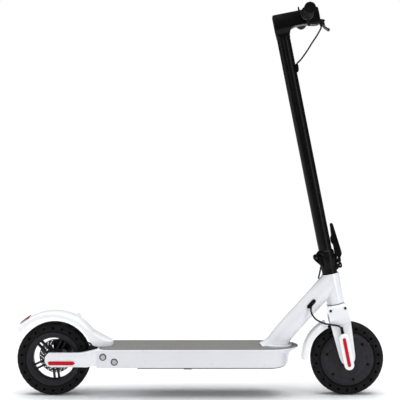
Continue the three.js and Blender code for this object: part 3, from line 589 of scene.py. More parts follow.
def build_tyre(name, x, body):
    lobes = 120

    def tread(i, radius, along):
        if radius > 104.0 and abs(along) > 11:
            return radius - (1.1 if (i // 2) % 3 == 0 else 0)
        return radius

    half = [(RIM_R + 0.3, 19, 1), (83, 22.5, 4), (89, 24.4, 3), (94, TYRE_HALF, 4), (100.5, 23.4, 4),
            (104.6, 18.2, 3), (106.6, 13.2, 2), (107.0, 12.2), (105.6, 11.8), (105.6, 10.8), (107.1, 10.4),
            (TYRE_R, 5.4), (106.0, 5.0), (106.0, 4.0), (TYRE_R, 3.6)]
    tyre = lathe(name, both_halves(half), lobes * 2, "Y", (x, 0, AXLE_Z), ROW, 4, None, tread)
    holes = []
    for i in range(22):
        at = round_axle(x, 91.8, TURN * (i + 0.5) / 22)
        for sign in (-1, 1):
            holes.append(slab("hole", circle(*at, 3.9, 20), *on_side(sign, 12, 30)))
    cut(tyre, gather("holes", holes))
    add(tyre, body, "tyre_rubber", name)


def build_rear_wheel():
    build_tyre("rear_tyre", REAR_X, "rear_wheel")
    half = [(61.5, -13, 2), (64, -17, 2), (69, -18.5, 2), (74, -21.5, 1.5), (RIM_R, -21.5, 1)]
    ring = lathe("rim_ring", both_halves(half), 160, "Y", REAR_AXLE)
    hub = lathe("rim_hub", [(6.5, -28, 0.5), (13, -28, 2), (15, -22, 2), (16, -14, 2), (21, -11, 3),
                            (21, 11, 3), (18, 20, 3), (17, 28.7, 1), (6.5, 28.7, 0.5)], 72, "Y",
                REAR_AXLE)
    parts = [ring, hub]
    spoke = [(14, -8.5), (40, -6.5, 20), (66, -9.5), (66, 9.5), (40, 6.5, 20), (14, 8.5)]
    for i in range(5):
        place = shift(*REAR_AXLE) @ turned(-(61 + 72 * i), "Y")
        for offset in (-6.5, 6.5):
            parts.append(slab("bar", spoke, offset - 2.4, offset + 2.4, "Z", place, 0.9))
        parts.append(box("web", 15, 30, -5, 5, -6, 6, place, 1.0))
    add(gather("rear_rim_body", parts), "rear_wheel", "dark_cast", "rear_rim")

    rotor = lathe("rotor", [(14, 29.1, 0.2), (50, 29.1, 0.3), (50, 30.9, 0.3), (14, 30.9, 0.2)], 120, "Y",
                  REAR_AXLE)
    tools = []
    for i in range(24):
        for radius, turn in ((46.5, 0), (42.5, 5), (38.5, 10)):
            at = round_axle(REAR_X, radius, radians(15 * i + turn))
            tools.append(slab("hole", circle(*at, 1.5, 12), 25, 35))
    for i in range(6):
        angles = [radians(60 * i + 8) + radians(44) * k / 6 for k in range(7)]
        outer = [round_axle(REAR_X, 33.5, angle) for angle in angles]
        inner = [round_axle(REAR_X, 22, angle) for angle in angles[::-1]]
        tools.append(slab("window", outer + inner, 25, 35))
    cut(rotor, gather("rotor_holes", tools))
    # The rotor takes the darker steel: painted shade inside the wheel.
    add(rotor, "rear_wheel", "dark_and_shaded_steel", "brake_rotor", slot="bare_steel")
    screws = []
    for k in range(6):
        x, z = round_axle(REAR_X, 17.5, TURN * k / 6)
        profile = [(0, 30.9), (2.6, 30.9), (2.6, 32.6, 0.6), (0, 32.6)]
        screws.append(lathe("bolt", profile, 20, "Y", (x, 0, z)))
    add(gather("rotor_bolts", screws), "rear_wheel", "bare_steel")


def build_front_wheel():
    build_tyre("front_tyre", FRONT_X, "front_wheel")
    half = [(9.5, 29, 0.8), (20, 29, 1), (21, 28, 1), (24, 28, 1), (25, 29, 1), (52, 29, 1.5),
            (54, 28, 1), (56, 28, 1), (57.5, 29, 1), (69.5, 28.6, 1.6), (71.5, 26.2, 1), (72.4, 25.2, 0.5),
            (76.4, 24.2, 1), (RIM_R, 21.6, 1)]
    shell = lathe("motor_body", both_halves(half), 160, "Y", FRONT_AXLE, ROW, 3)
    screws, wells = [], []
    for i in range(6):
        x, z = round_axle(FRONT_X, 61.5, radians(46 + 60 * i))
        for sign in (-1, 1):
            wells.append(slab("well", circle(x, z, 4.4, 24), *on_side(sign, 25, 32)))
        screws.append(hex_screw("cover_screw", (x, -25, z), 3.3, 1.3))
    cut(shell, gather("cover_wells", wells))
    add(shell, "front_wheel", "dark_cast", "motor_shell")
    screw_set = gather("cover_screws_right", screws)
    add(screw_set, "front_wheel", "grip_rubber", slot="black_paint")
    other = screw_set.data.copy()
    other.transform(MIRROR)
    other.flip_normals()
    add(in_scene("cover_screws_left", other), "front_wheel", "grip_rubber", slot="black_paint")


# ------------------------------------------------------------------ deck and neck
def deck_plan(inset, lean, back, corner=0.0):
    """The deck's plan at one level: lean is how far the nose falls back there."""
    half = DECK_HALF - inset
    reach = DECK_NOSE - DECK_STRAIGHT - lean - inset
    rear = []
    for k in range(9):
        angle = pi / 16 * k
        rear.append((back + corner * (1 - sin(angle)), half - corner * (1 - cos(angle))))
    nose = []
    for k in range(49):
        angle = pi / 2 - pi * k / 48
        nose.append((DECK_STRAIGHT + reach * cos(angle), half * sin(angle)))
    return [(x, -y) for x, y in rear[::-1]] + nose[::-1] + rear


def oval(x, long, half, sides=64):
    return [(x + long * cos(TURN * k / sides), half * sin(TURN * k / sides)) for k in range(sides)]


def build_deck():
    levels = [(DECK_LOW, 3.0, 31), (DECK_LOW + 0.9, 1.5, 31), (DECK_LOW + 3, 0.4, 30.8),
              (DECK_LOW + 8, 0.0, 30.4), (105, 0.0, 30), (118, 0.0, 28), (126, 0.0, 25.5), (131, 0.0, 22),
              (135, 0.0, 15), (139, 0.0, 6), (142, 0.4, 1.2), (DECK_TOP - 1.6, 0.6, 0.4),
              (DECK_TOP - 0.6, 1.1, 0.1), (DECK_TOP, 2.2, 0)]
    bm = bmesh.new()
    rings = [[bm.verts.new((x, y, z)) for x, y in deck_plan(inset, lean, DECK_BACK, 1.0)]
             for z, inset, lean in levels]
    inner = deck_plan(2.6, 0, -293.2, 28)
    rings.append([bm.verts.new((x, y, DECK_TOP)) for x, y in inner])
    rings.append([bm.verts.new((x, y, DECK_TOP - 1.7)) for x, y in inner])
    skin(bm, rings)
    bm.faces.new(rings[0])
    bm.faces.new(rings[-1])
    shell = smooth(mesh_object("deck_body", bm))
    cut(shell, slab("cover_seat", deck_plan(10, 31, -176), DECK_LOW - 2, DECK_LOW + 6, "Z"))
    cut(shell, rod("port_hole", 9.2, 60, 90, (150, 0, 119), place=ROW))
    # The deck shell takes the darker copy of the white paint: painted shade.
    add(shell, "frame", "shaded_deck_paint", "deck_shell", slot="white_paint")

    foot_hole = slab("neck_room", oval(NECK_FOOT_X, 44.6, 42.6), 100, 200, "Z")
    mat = slab("grip_mat", deck_plan(2.9, 0, -292.8, 28), DECK_TOP - 1.4, DECK_TOP + 0.5, "Z", ROW, 0.5, 2)
    mat = cut(mat, foot_hole)
    studs = bmesh.new()
    pitch = 7.0
    for row in range(-9, 10):
        for column in range(-45, 42):
            x = column * pitch + (pitch / 2 if row % 2 else 0) + 14
            y = row * pitch * 1.06
            past_nose = x > DECK_STRAIGHT and ((x - DECK_STRAIGHT) / 81) ** 2 + (y / 71) ** 2 > 1
            past_corner = x < -262 and abs(y) > 46 and hypot(x + 262, abs(y) - 46) > 24
            under_neck = ((x - NECK_FOOT_X) / 48) ** 2 + (y / 46.5) ** 2 < 1
            if past_nose or past_corner or under_neck or x < -286:
                continue
            bmesh.ops.create_cone(studs, cap_ends=True, segments=6, radius1=2.8, radius2=1.8, depth=1.0,
                                  matrix=Matrix.Translation((x, y, DECK_TOP + 0.7)))
    dots = mesh_object("studs", studs)
    add(smooth(gather("deck_mat_body", [mat, dots]), 20), "frame", "mat_rubber", "deck_mat")

    cover = slab("deck_cover", deck_plan(5.5, 31, -179.5), 89.4, 91.7, "Z", ROW, 0.6)
    wells, screws = [], []
    for x in (-160, -60, 60, 170):
        for y in (-60, 60):
            wells.append(slab("well", circle(x, y, 4.2, 24), 88, 90.6, "Z"))
            screws.append(slab("screw", circle(x, y, 3.4, 24), 89.6, 91, "Z", ROW, 0.3))
    cut(cover, gather("cover_wells", wells))
    add(cover, "frame", "black_plastic", "bottom_cover")
    add(gather("deck_cover_screws", screws), "frame", "bare_steel")

    for name, place in (("right", ROW), ("left", MIRROR)):
        bolts, rings = [], []
        for x, z in ((-278.6, 124.8), (-245.9, 110.5)):
            rings.append(lathe("cup", [(7.6, -75.5), (10.2, -75.5), (10.2, -77.6, 0.5), (8.6, -77.9, 0.4),
                                       (7.6, -77)], 48, "Y", (x, 0, z), place))
            bolts.append(hex_screw("bolt", (x, -75.6, z), 7.4, 2.8, place, 0.2))
            bolts.append(lathe("socket_pin", [(0, -76), (1.6, -76), (1.6, -78, 0.3), (0, -78)], 20, "Y",
                               (x, 0, z), place))
        add(gather("deck_bolts_" + name, bolts), "frame", "bare_steel")
        add(gather("bolt_cups_" + name, rings), "frame", "black_plastic")


def build_neck():
    route = [(206, 0, 128), (249.5, 0, 185.7), (342.5, 0, 288.5), (388, 0, 341)]

    def size(f):
        foot = max(0.0, 1 - f / 0.2)
        return 29 + 3.5 * foot ** 2, 29 + 11 * foot ** 2

    neck = sweep("neck_body", route, size, ROW, 64, 14, power=2.3)
    keep = box("keep", -620, 0.5, -70, 70, -400, HEAD_TUBE_TOP - 0.3, FRONT, 0)
    combine(neck, [keep], "INTERSECT")
    combine(neck, [box("above", 100, 500, -80, 80, DECK_TOP + 0.2, 420, ROW, 0)], "INTERSECT")
    cut(neck, rod("head_room", 26.2, 90, 330, ORIGIN, 96, "Z"))
    add(neck, "frame", "white_paint", "neck_tube")

    plinth = slab("neck_foot", oval(NECK_FOOT_X, 44, 42), DECK_TOP - 3, DECK_TOP + 3.8, "Z", ROW, 2.2, 5)
    add(plinth, "frame", "white_paint")

    profile = [(21.5, HEAD_TUBE_LOW, 0.6), (HEAD_TUBE_R, HEAD_TUBE_LOW, 1.2),
               (HEAD_TUBE_R, HEAD_TUBE_TOP, 1.2), (21.5, HEAD_TUBE_TOP, 0.6)]
    tube = lathe("head_tube_body", profile, 96, "Z", ORIGIN, FRONT)
    add(tube, "frame", "white_paint", "head_tube")

    for name, low, top, radius in (("lower", 163.1, 164.9, 24.6), ("upper", 253.6, 254.6, 24.2)):
        seal = lathe(name + "_dust_seal", [(16, low), (radius, low, 0.5), (radius, top, 0.5), (16, top)], 72,
                     "Z", ORIGIN, FRONT)
        add(seal, "frame", "grip_rubber")

    gland = slab("neck_gland", capsule(0, -16.5, 16.5, 5.5), -33.2, -24, "Y",
                 shift(325, 0, 271) @ turned(42, "Y"), 2.2, 4)
    add(gland, "frame", "grip_rubber", "cable_gland")


# ------------------------------------------------------------------ rear end
def build_rear_arms():
    side = [(-296.5, 98.5), (-312, 98.5, 6), (-324, 93.2, 8), (-436, 93, 8), (-448, 106, 6), (-448, 122, 4),
            (-439, 133, 3), (-346, 133, 14), (-296.5, 144.4)]
    for name, sign in SIDES:
        arm = slab("rear_arm_" + name + "_body", side, -90, 90)
        plan = [(-452, 47 * sign), (-452, 67 * sign), (-338, 67 * sign, 16), (-306, 76.6 * sign, 12),
                (-296, 76.6 * sign), (-296, 47 * sign)]
        combine(arm, [slab("plan", plan, 80, 160, "Z")], "INTERSECT")
        soften(arm, 1.6, 3, 30)
        add(arm, "frame", "white_paint", "rear_arm_" + name)
        outline = [(-438, 99.5, 5), (-366, 99.5, 3), (-360, 105, 2), (-366, 110.5, 3), (-438, 110.5, 5)]
        strip = slab("arm_reflector_" + name, outline, *on_side(sign, 66.4, 68.9), bevel=1.0)
        add(strip, "frame", "red_reflector", "rear_reflector_" + name)
    half = [(0, -60), (6, -60, 1), (6, -46.8), (10, -46.6, 1), (10, -40, 1), (6, -39.8)]
    axle = lathe("rear_axle_body", both_halves(half), 48, "Y", REAR_AXLE)
    add(axle, "frame", "bare_steel", "rear_axle")


def fender_profile(radius, flange):
    half, wall = FENDER_HALF, FENDER_WALL
    return [(flange, -half, 0.9), (radius - 3, -half, 9), (radius, 0, 30), (radius - 3, half, 9),
            (flange, half, 0.9), (flange, half - wall, 0.9), (radius - 5, half - wall, 8),
            (radius - wall, 0, 30), (radius - 5, -half + wall, 8), (flange, -half + wall, 0.9)]


def fairing_plan(half, reach):
    """Straight sides with half an ellipse to the front."""
    angles = [k * pi / 24 for k in range(25)]
    front = [(-284 + reach * sin(angle), -half * cos(angle)) for angle in angles]
    return [(-360, -half)] + front + [(-360, half)]


def build_rear_fender():
    arc = lathe("fender_arc", fender_profile(141, 124), 90, "Y", REAR_AXLE, ROW, 5, (28, 139))
    outline = [(-313, 150), (-300, 146.6, 12), (-257, 146.6, 1), (-257, 157.5, 3), (-275, 163, 22),
               (-293, 172, 30), (-319, 187, 40), (-335, 205, 20), (-344, 196)]
    outer = slab("fairing", outline, -35, 35)
    combine(outer, [slab("fairing_plan", fairing_plan(35, 27), 130, 240, "Z")], "INTERSECT")
    inner = slab("hollow", [(-335, 135), (-260, 135), (-260, 155.5, 3), (-276, 160.2, 20), (-294, 169.2, 28),
                            (-320, 184, 38), (-337, 202, 10), (-350, 196), (-335, 170)], -32.2, 32.2)
    combine(inner, [slab("hollow_plan", fairing_plan(32.2, 24.2), 120, 240, "Z")], "INTERSECT")
    cut(outer, inner, rod("tyre_room", 121, -60, 60, REAR_AXLE, 180, place=ROW))
    soften(outer, 1.3, 3, 30)
    outline = [(-374, 214), (-352, 206), (-349, 219, 3), (-355, 238, 2), (-366, 239, 2), (-361, 228, 2)]
    hook = slab("fender_hook", outline, -8, 8, bevel=1.2)
    fender = gather("rear_fender_body", [arc, outer, hook])
    add(fender, "frame", "white_plastic", "rear_fender")
    profile = [(141.2, -21, 0.6), (143, -22, 1.2), (144.8, 0, 30), (143, 22, 1.2), (141.2, 21, 0.6)]
    lamp = lathe("tail_lamp", profile, 24, "Y", REAR_AXLE, ROW, 5, (120, 132.5))
    add(soften(lamp, 0.5, 2), "frame", "tail_lens", "tail_light")
    outline = [(-326, 134, 2), (-303, 128, 2), (-301, 141, 2), (-309, 143, 3), (-326, 146, 2)]
    bracket = slab("fender_bracket", outline, -46, 34, bevel=0.8)
    cut(bracket, rod("bracket_room", 111, -60, 60, REAR_AXLE, 120, place=ROW))
    add(bracket, "frame", "black_paint")


def build_brake():
    outline = [(-438, 129, 4), (-424, 128, 5), (-384, 128, 5), (-384, 160, 7), (-414, 160, 8),
               (-438, 152, 6)]
    body = slab("caliper_block", outline, 23, 44.5, bevel=1.4)
    cut(body, rod("rotor_room", 52, 28.2, 31.8, REAR_AXLE, 96, place=ROW))
    centre = (-398, 0, 150)
    pivot = lathe("pivot", [(0, 42), (5, 42), (5, 44.7, 0.5), (2.4, 44.7), (2.4, 50.5, 0.6), (0, 50.5)], 32,
                  "Y", centre)
    barrel = sweep("anchor", [(-386, 36, 150), (-376, 36, 150)], 4.4, ROW, 20, 2, round_end=0.8)
    add(gather("caliper_body", [body, pivot, barrel]), "frame", "black_paint", "brake_caliper")
    outline = [(-404, 147, 4), (-393, 143, 4), (-375, 167, 3), (-382, 173, 3)]
    arm = slab("arm", outline, 44.9, 48.4, bevel=0.6)
    boss = lathe("boss", [(2.8, 44.9), (7, 44.9, 0.5), (7, 48.5, 0.5), (2.8, 48.5)], 32, "Y", centre)
    add(gather("caliper_arm_body_piece", [arm, boss]), "caliper_arm_body", "bare_steel", "caliper_arm")
    route = [(-375.6, 36, 150), (-366, 36, 150), (-350, 38, 149), (-328, 40, 141), (-308, 41, 131),
             (-297, 41, 129.5), (-284, 42, 134)]
    add(sweep("rear_cable", route, 2.4), "frame", "cable_sheath", "rear_brake_cable")


# ------------------------------------------------------------------ fork
def build_fork():
    outline = [(-26, 163, 3), (26, 163, 3), (30.5, 112, 3), (-30.5, 112, 3)]
    crown = slab("crown", outline, -80, 80, "Y", FRONT)
    across = [(-56, 112), (-56, 124, 14), (-40, 163, 8), (40, 163, 8), (56, 124, 14), (56, 112),
              (34, 112), (34, 136, 12), (-34, 136, 12), (-34, 112)]
    combine(crown, [slab("across", across, -60, 60, "X", FRONT)], "INTERSECT")
    soften(crown, 2.4, 3, 30)
    steerer = lathe("steerer", [(0, 150), (15, 150), (15, 284, 1), (0, 284)], 48, "Z", ORIGIN, FRONT)
    add(gather("fork_crown_body", [crown, steerer]), "fork", "white_paint", "fork_crown")

    screws = []
    for place in (FRONT, FRONT @ MIRROR):
        for x in (-21.5, 21.5):
            screws.append(hex_screw("crown_screw", (x, -43.7, 152), 3.8, 3.2, place))
    add(gather("crown_screws", screws), "fork", "grip_rubber", slot="black_paint")

    leg = [(-29.5, 111.7, 2), (-22.5, 10, 20), (-17, -6, 6), (17, -6, 6), (22.5, 10, 20), (29.5, 111.7, 2)]
    for name, sign in SIDES:
        blade = slab("leg_" + name, leg, *on_side(sign, 36, 54), "Y", FRONT, 3, 4)
        add(blade, "fork", "white_paint", "fork_leg_" + name)
        cover = slab("leg_cover_" + name, capsule(0, -25, 83, 14), *on_side(sign, 54.2, 65), "Y", FRONT,
                     4, 5)
        add(cover, "fork", "white_plastic", "fork_cover_" + name)
        strip = slab("leg_reflector_" + name, capsule(0, -15, 71, 4.75), *on_side(sign, 64.4, 66.5), "Y",
                     FRONT, 0.9)
        add(strip, "fork", "red_reflector", "front_reflector_" + name)

    fender = lathe("front_fender_body", fender_profile(122.5, 103), 60, "Y",
                   (FRONT_X - 12.5, 0, AXLE_Z), ROW, 5, (115.5, 180))
    add(fender, "fork", "white_plastic", "front_fender")
    ferrule = sweep("cable_ferrule", [(0, -58, 80), (-1, -59, 90), (-1, -60.3, 103)], 4.4, FRONT, 24, 5,
                    round_end=1.2)
    add(ferrule, "fork", "grip_rubber")


# ------------------------------------------------------------------ folding joint
def build_folding_joint():
    column = lathe("column", [(15.3, 254.4), (22.5, 254.4, 1), (22.5, 272, 14), (25, 292, 8),
                              (25, 309.7, 1), (0, 309.7)][::-1], 96, "Z", ORIGIN, FRONT)
    web = slab("web", [(-16, 280, 2), (-21, 281, 4), (-37.6, 302.5, 4), (-37, 309.7, 2), (-16, 309.7)], -22,
               22, "Y", FRONT, 1.2)
    parts = [column, web]
    for sign in (-1, 1):
        low, high = on_side(sign, 10.3, 22)
        parts.append(lathe("knuckle", [(3.3, low, 0.4), (8, low, 0.8), (8, high, 1.2), (3.3, high, 0.4)], 48,
                           "Y", HINGE, FRONT))
    base = gather("fold_base_body", parts)
    cut(base, rod("knuckle_room", 8.6, -10.3, 10.3, HINGE, 48), rod("lever_room", 7.6, -12, 12, LEVER_PIVOT),
        rod("hook_room", 5.6, -12, 12, HOOK_PIVOT))
    lug = slab("lug", [(18, 262), (26, 262, 3), (32, 272, 5), (33.5, 284), (39, 282.9, 1), (40, 296, 3),
                        (37, 302, 3), (29, 305, 3), (18, 306)], -5.5, 5.5, "Y", FRONT, 0.8)
    add(gather("fold_base_piece", [base, lug]), "fork", "black_paint", "fold_base")
    pins = [rod("pin", 2.5, -10.4, 10.4, LEVER_PIVOT, 28, edge=0.6),
            rod("pin", 2.2, -10.2, 10.2, HOOK_PIVOT, 28, edge=0.6)]
    add(gather("latch_pins", pins), "fork", "bare_steel")
    pin = rod("fold_pin", 3, -22.6, 22.6, HINGE, 32, edge=0.6)
    add(pin, "fork", "dark_and_shaded_steel", "hinge_pin", slot="bare_steel")

    blade = slab("blade", [(37, 293, 3), (45.5, 305, 8), (45, 316, 8), (36, 399, 5), (27.5, 399, 5),
                            (24.6, 362, 6), (20.6, 356, 2), (20.6, 342, 2), (25, 339, 2), (25, 296)],
                 -9.5, 9.5, "Y", FRONT, 1.6)
    lever = fuse(blade, rod("cheek", 7, -9.5, 9.5, LEVER_PIVOT, edge=1))
    cut(lever, rod("lug_room", 17.5, -5.9, 5.9, LEVER_PIVOT, 72), rod("bore", 2.8, -20, 20, LEVER_PIVOT, 24),
        slab("thumb_hollow", [(41.8, 326, 6), (36, 384, 6), (60, 384), (60, 326)], -5.5, 5.5, "Y", FRONT))
    add(lever, "fold_lever_body", "black_paint", "fold_lever")
    outline = [(27, 267), (26, 284), (30, 285.5), (39.5, 279.5, 1.5), (39.5, 268, 3), (34, 264.5, 3)]
    hook = slab("hook", outline, -9.2, 9.2, "Y", FRONT, 0.8)
    fuse(hook, rod("ring", 5, -9.2, 9.2, HOOK_PIVOT, 32, edge=0.6))
    cut(hook, slab("lug_room", [(10, 255), (30, 255), (34.5, 270), (35.6, 290), (10, 290)], -5.9, 5.9, "Y",
                   FRONT), rod("bore", 2.5, -20, 20, HOOK_PIVOT, 24))
    add(hook, "lock_hook_body", "black_paint", "lock_hook")
    stud = lathe("stud", [(0, -9), (2, -9), (2, -10.2, 0.4), (0, -10.2)], 24, "Y", (34.5, 0, 273.5), FRONT)
    add(stud, "lock_hook_body", "bare_steel")

    foot = lathe("foot", [(0, 310.1), (24, 310.1, 1), (24, 320, 1.5), (20.2, 325.2, 1), (16, 325.2),
                          (16, 340), (0, 340)], 96, "Z", ORIGIN, FRONT)
    outline = [(-31, 310.1), (-31, 315.8, 1), (-20.5, 325.2, 2), (-10, 325.2), (-10, 310.1)]
    tie = slab("tie", outline, -10, 10, "Y", FRONT, 0.5)
    knuckle = lathe("knuckle", [(3.3, -10, 0.4), (8, -10, 0.8), (8, 10, 0.8), (3.3, 10, 0.4)], 48, "Y",
                    HINGE, FRONT)
    add(gather("stem_foot_body", [foot, tie, knuckle]), "stem", "black_paint", "stem_foot")


# ------------------------------------------------------------------ stem and head
def build_stem():
    profile = [(16.6, 325.4, 0.3), (STEM_R, 325.4, 0.6), (STEM_R, 956.6, 0.6), (16.6, 956.6, 0.3)]
    tube = lathe("stem_tube_body", profile, 128, "Z", ORIGIN, FRONT)
    add(tube, "stem", "black_paint", "stem_tube")

    outline = [(-20, 965, 4), (-20, HEAD_TOP, 1), (114, HEAD_TOP, 2), (114, 977, 8), (96, 976, 10),
               (72, 984, 20), (36, 984, 10), (24, 978, 8), (19.5, 962, 4), (0, 958)]
    head = slab("head", outline, -30, 30, place=FRONT)
    across = [(-20.4, 940), (-20.4, 970, 8), (-30, 983, 8), (-30, HEAD_TOP, 3), (30, HEAD_TOP, 3),
              (30, 983, 8), (20.4, 970, 8), (20.4, 940)]
    combine(head, [slab("across", across, -60, 140, "X", FRONT)], "INTERSECT")
    soften(head, 1.6, 3, 30)
    sleeve = lathe("sleeve", [(0, 957), (20.6, 957, 0.8), (20.6, 986), (0, 986)], 96, "Z", ORIGIN, FRONT)
    fuse(head, sleeve)
    cut(head, rod("bar_room", 11.4, -60, 60, BAR, 64), rod("button_room", 7, 1017, 1060, BUTTON, axis="Z"),
        slab("lens_room", [(-20, 989, 7), (20, 989, 7), (20, 1019, 7), (-20, 1019, 7)], 110, 130, "X",
             FRONT))
    add(head, "stem", "black_paint", "stem_head")
    lens = slab("lamp_lens", [(-19.7, 989.3, 7), (19.7, 989.3, 7), (19.7, 1018.7, 7), (-19.7, 1018.7, 7)],
                110.3, 115.8, "X", FRONT, 1.6, 4)
    add(lens, "stem", "clear_lens", "headlight_lens")
    panel = slab("display_panel", [(-19.6, -28.5, 3), (113, -28.5, 4), (113, 28.5, 4), (-19.6, 28.5, 3)],
                 HEAD_TOP + 0.2, HEAD_TOP + 2.4, "Z", FRONT, 0.4)
    cut(panel, rod("button_room", 7, 1000, 1060, BUTTON, axis="Z"))
    add(panel, "stem", "display_glass", "dashboard")
    profile = [(0, 1018.8), (6.5, 1018.8), (6.5, 1027.2, 0.8), (4.6, 1027.2, 0.6), (3.8, 1026.7),
               (0, 1026.6)]
    button = lathe("start_button", profile, 48, "Z", BUTTON, FRONT)
    add(button, "power_button_body", "black_plastic", "power_button")
    grommet = slab("cable_grommet", [(12, 852, 3), (24, 852, 5), (27, 862, 5), (27, 876.5, 3), (12, 876.5)],
                   -6, 6, "Y", FRONT, 2, 4)
    cut(grommet, rod("stem_room", 19.9, 800, 900, ORIGIN, 96, "Z"))
    add(grommet, "stem", "grip_rubber", "stem_grommet")


# ------------------------------------------------------------------ handlebar
def build_handlebar():
    bar = lathe("bar", [(9, -211), (BAR_R, -211, 0.5), (BAR_R, 211, 0.5), (9, 211)], 64, "Y", BAR, FRONT)
    add(bar, "stem", "black_paint", "handlebar")
    for name, sign in SIDES:
        profile = [(0, 211.4), (11.2, 211.4), (11.2, 93, 0.3), (16.8, 93, 0.8), (16.8, 97, 0.8)]
        y = 98.0
        while y < 204:
            profile += [(15.5, y, 0.4), (15.5, y + 1.2, 0.4), (16.2, y + 1.9, 0.4), (16.2, y + 3.7, 0.4)]
            y += 4.4
        profile += [(15.5, y, 0.4), (16.2, y + 1, 0.5), (16.2, 213, 1.6), (12, 215, 1), (0, 215)]
        profile = [(p[0], p[1] * sign, *p[2:]) for p in profile]
        add(lathe("grip_" + name + "_body", profile, 72, "Y", BAR, FRONT, 3), "stem", "grip_rubber",
            "grip_" + name)

    collar = lathe("collar", [(11.4, -92.5, 0.4), (17.6, -92.5, 1.2), (19, -90, 1), (19, -84, 1),
                              (17.2, -82, 1), (17.2, -76, 1.5), (11.4, -76, 0.4)], 72, "Y", BAR, FRONT)
    paddle = slab("paddle", [(BAR_X - 5, 992), (BAR_X - 5.5, 975, 6), (BAR_X - 2.5, 969, 3),
                              (BAR_X + 2.5, 970, 3), (BAR_X + 3, 992)], -92, -78, "Y", FRONT, 2.2, 4)
    add(gather("thumb_throttle", [collar, paddle]), "throttle_body", "black_plastic", "throttle")

    clamp = lathe("clamp", [(11.3, 46, 0.4), (14.5, 46, 1.2), (14.5, 60, 1.2), (11.3, 60, 0.4)], 64, "Y",
                  BAR, FRONT)
    dome = lathe("dome", [(0, 1021), (13, 1021, 0.6), (14, 1023, 1), (13, 1029, 5), (6, 1033.6, 4),
                          (0, 1034.6)], 64, "Z", (84, 53, 0), FRONT)
    post = rod("post", 5, 1014, 1022, (82, 53, 0), 32, "Z")
    lug = box("lug", 61, 67, 47, 51, 1010, 1027, FRONT, 0.8)
    pin = lathe("pin", [(0, 47), (1.5, 47), (1.5, 56, 0.4), (0, 56)], 20, "Y", (64, 0, 1024.5), FRONT)
    add(gather("bell_body", [clamp, dome, post, lug, pin]), "stem", "black_plastic", "bell")
    striker = slab("striker", [(59.5, 1022, 2), (67.5, 1022, 2), (66.5, 1044, 1.4), (63, 1046, 1.4)], 51.4,
                   55, "Y", FRONT, 0.7)
    add(striker, "bell_striker_body", "black_plastic", "bell_striker", slot="bare_steel")


def build_brake_lever():
    pivot = (56.4, 92, 0)
    ring = lathe("ring", [(11.4, 70, 0.4), (16, 70, 1.4), (16, 89, 1.4), (11.4, 89, 0.4)], 64, "Y",
                 ORIGIN, LEVER)
    arm = slab("arm", [(9, 72), (46, 79, 8), (60, 82, 6), (66, 92, 6), (60, 101, 6), (30, 90, 10), (9, 88)],
               -8, 8, "Z", LEVER, 1.8)
    cut(arm, box("slot", 44, 80, 84, 120, -3.4, 3.4, LEVER, 0))
    profile = [(0, -14), (4.5, -14, 0.6), (4.5, -10, 0.4), (5.2, -9.6, 0.4), (5.2, -4), (0, -4)]
    barrel = lathe("barrel", profile, 32, "Z", (55, 84, 0), LEVER)
    half = [(0, -8.6), (3.6, -8.6, 0.6), (3.6, -7.6), (2.2, -7.6)]
    pin = lathe("pin", both_halves(half), 28, "Z", pivot, LEVER)
    add(gather("brake_bracket_body", [ring, arm, barrel, pin]), "stem", "black_paint", "brake_bracket")

    def size(f):
        return 3.0 + 1.2 * f, 5.6 - 1.2 * f

    route = [(56, 90, 0), (60, 104, -0.5), (63, 118, -5), (67, 134, -8.2), (75, 160, -9.6), (83, 183, -10)]
    blade = sweep("blade", route, size, LEVER, 24, 8, (0, 0, 1), 2.6, 1.0)
    root = rod("root", 7, -3, 3, pivot, 32, "Z", LEVER, 0.5)
    tip = ball("tip", (84, 185, -10), 5.6, LEVER)
    add(gather("brake_lever_blade", [blade, root, tip]), "brake_lever_body", "dark_cast", "brake_lever",
        slot="black_paint")


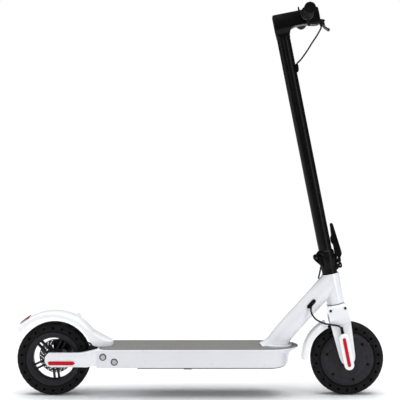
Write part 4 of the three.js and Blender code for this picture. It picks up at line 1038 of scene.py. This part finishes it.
# ------------------------------------------------------------------ cables and kickstand
def build_cables():
    route = [(122.8, 84, 976.4), (119.5, 81.5, 970), (104, 67.5, 952), (84, 50, 932), (64, 33, 911),
             (44, 16, 892), (34, 7, 884), (27, 1.5, 879.5), (21, 0, 874), (18, 0, 869)]
    add(sweep("upper_cable", route, 2.4, FRONT), "stem", "cable_sheath", "brake_cable")
    lead = [(324.2, -33.4, 264), (322.8, -38.5, 253.4), (326.8, -42, 241.2), (336.5, -48, 229.2),
            (350.6, -55, 222.1), (364.6, -60.5, 218), (381.7, -62.5, 215.4), (396, -62.5, 213.2),
            (406.1, -62, 208.6), (410.6, -60.5, 199), (412, -60, 191.5)]
    bridge("motor_lead", lead, 2.7, ROW, "motor_cable")
    lower = [(-36.4, 0, 245.6), (-32.6, 0, 254), (-29, 0, 262), (-25.7, 0, 270), (-21.5, 0, 280.5)]
    bridge("lower_cable", lower, 2.4, FRONT, "lower_brake_cable")


def bridge(name, route, radius, place, node):
    """A cord from a point on the frame to one on the fork, baked into place and left without a body."""
    cord = sweep(name, route, radius, place, 16, 8)
    cord.data.materials.clear()
    cord.data.materials.append(LOOKS["cable_sheath"])
    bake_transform(cord)
    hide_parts(node)


def build_kickstand():
    def along(s):
        return (-40, 52 + 0.75 * s, 66 + 0.6617 * s)

    plate = box("plate", -60, -20, 44, 76, 85.4, 89.1, ROW, 1.2)
    web = box("web", -52, -28, 44, 54, 62, 87, ROW, 1.5)
    cut(web, sweep("room", [along(4.7), along(30)], 6.7, ROW, 40, 1))
    pin = sweep("pin", [along(-2), along(22)], 3, ROW, 24, 1, round_end=0.5)
    add(gather("stand_bracket", [plate, web, pin]), "frame", "black_paint", "kickstand_bracket")
    barrel = sweep("barrel", [along(5), along(19)], 6, ROW, 40, 1, round_end=0.6)
    x, y, z = along(12)
    leg = sweep("leg", [(x - 3, y, z), (x - 50, y, z), (x - 103, y, z)], 5, ROW, 32, 6)
    foot = ball("foot", (x - 103, y, z), 7.0)
    add(gather("stand_leg", [barrel, leg, foot]), "kickstand_body", "black_paint", "kickstand")


def dress_frame_nodes():
    """Gives every CAD node that stays in view its own look."""
    slots = {part["node"]: part["material_slot"] for part in frame["record"]["subparts"]}
    for name, obj in frame["nodes"].items():
        obj.data.materials.clear()
        obj.data.materials.append(LOOKS[slots[name]])


make_looks()
make_camera()
make_studio()
dress_frame_nodes()
build_rear_wheel()
build_front_wheel()
build_deck()
build_neck()
build_rear_arms()
build_rear_fender()
build_brake()
build_fork()
build_folding_joint()
build_stem()
build_handlebar()
build_brake_lever()
build_cables()
build_kickstand()
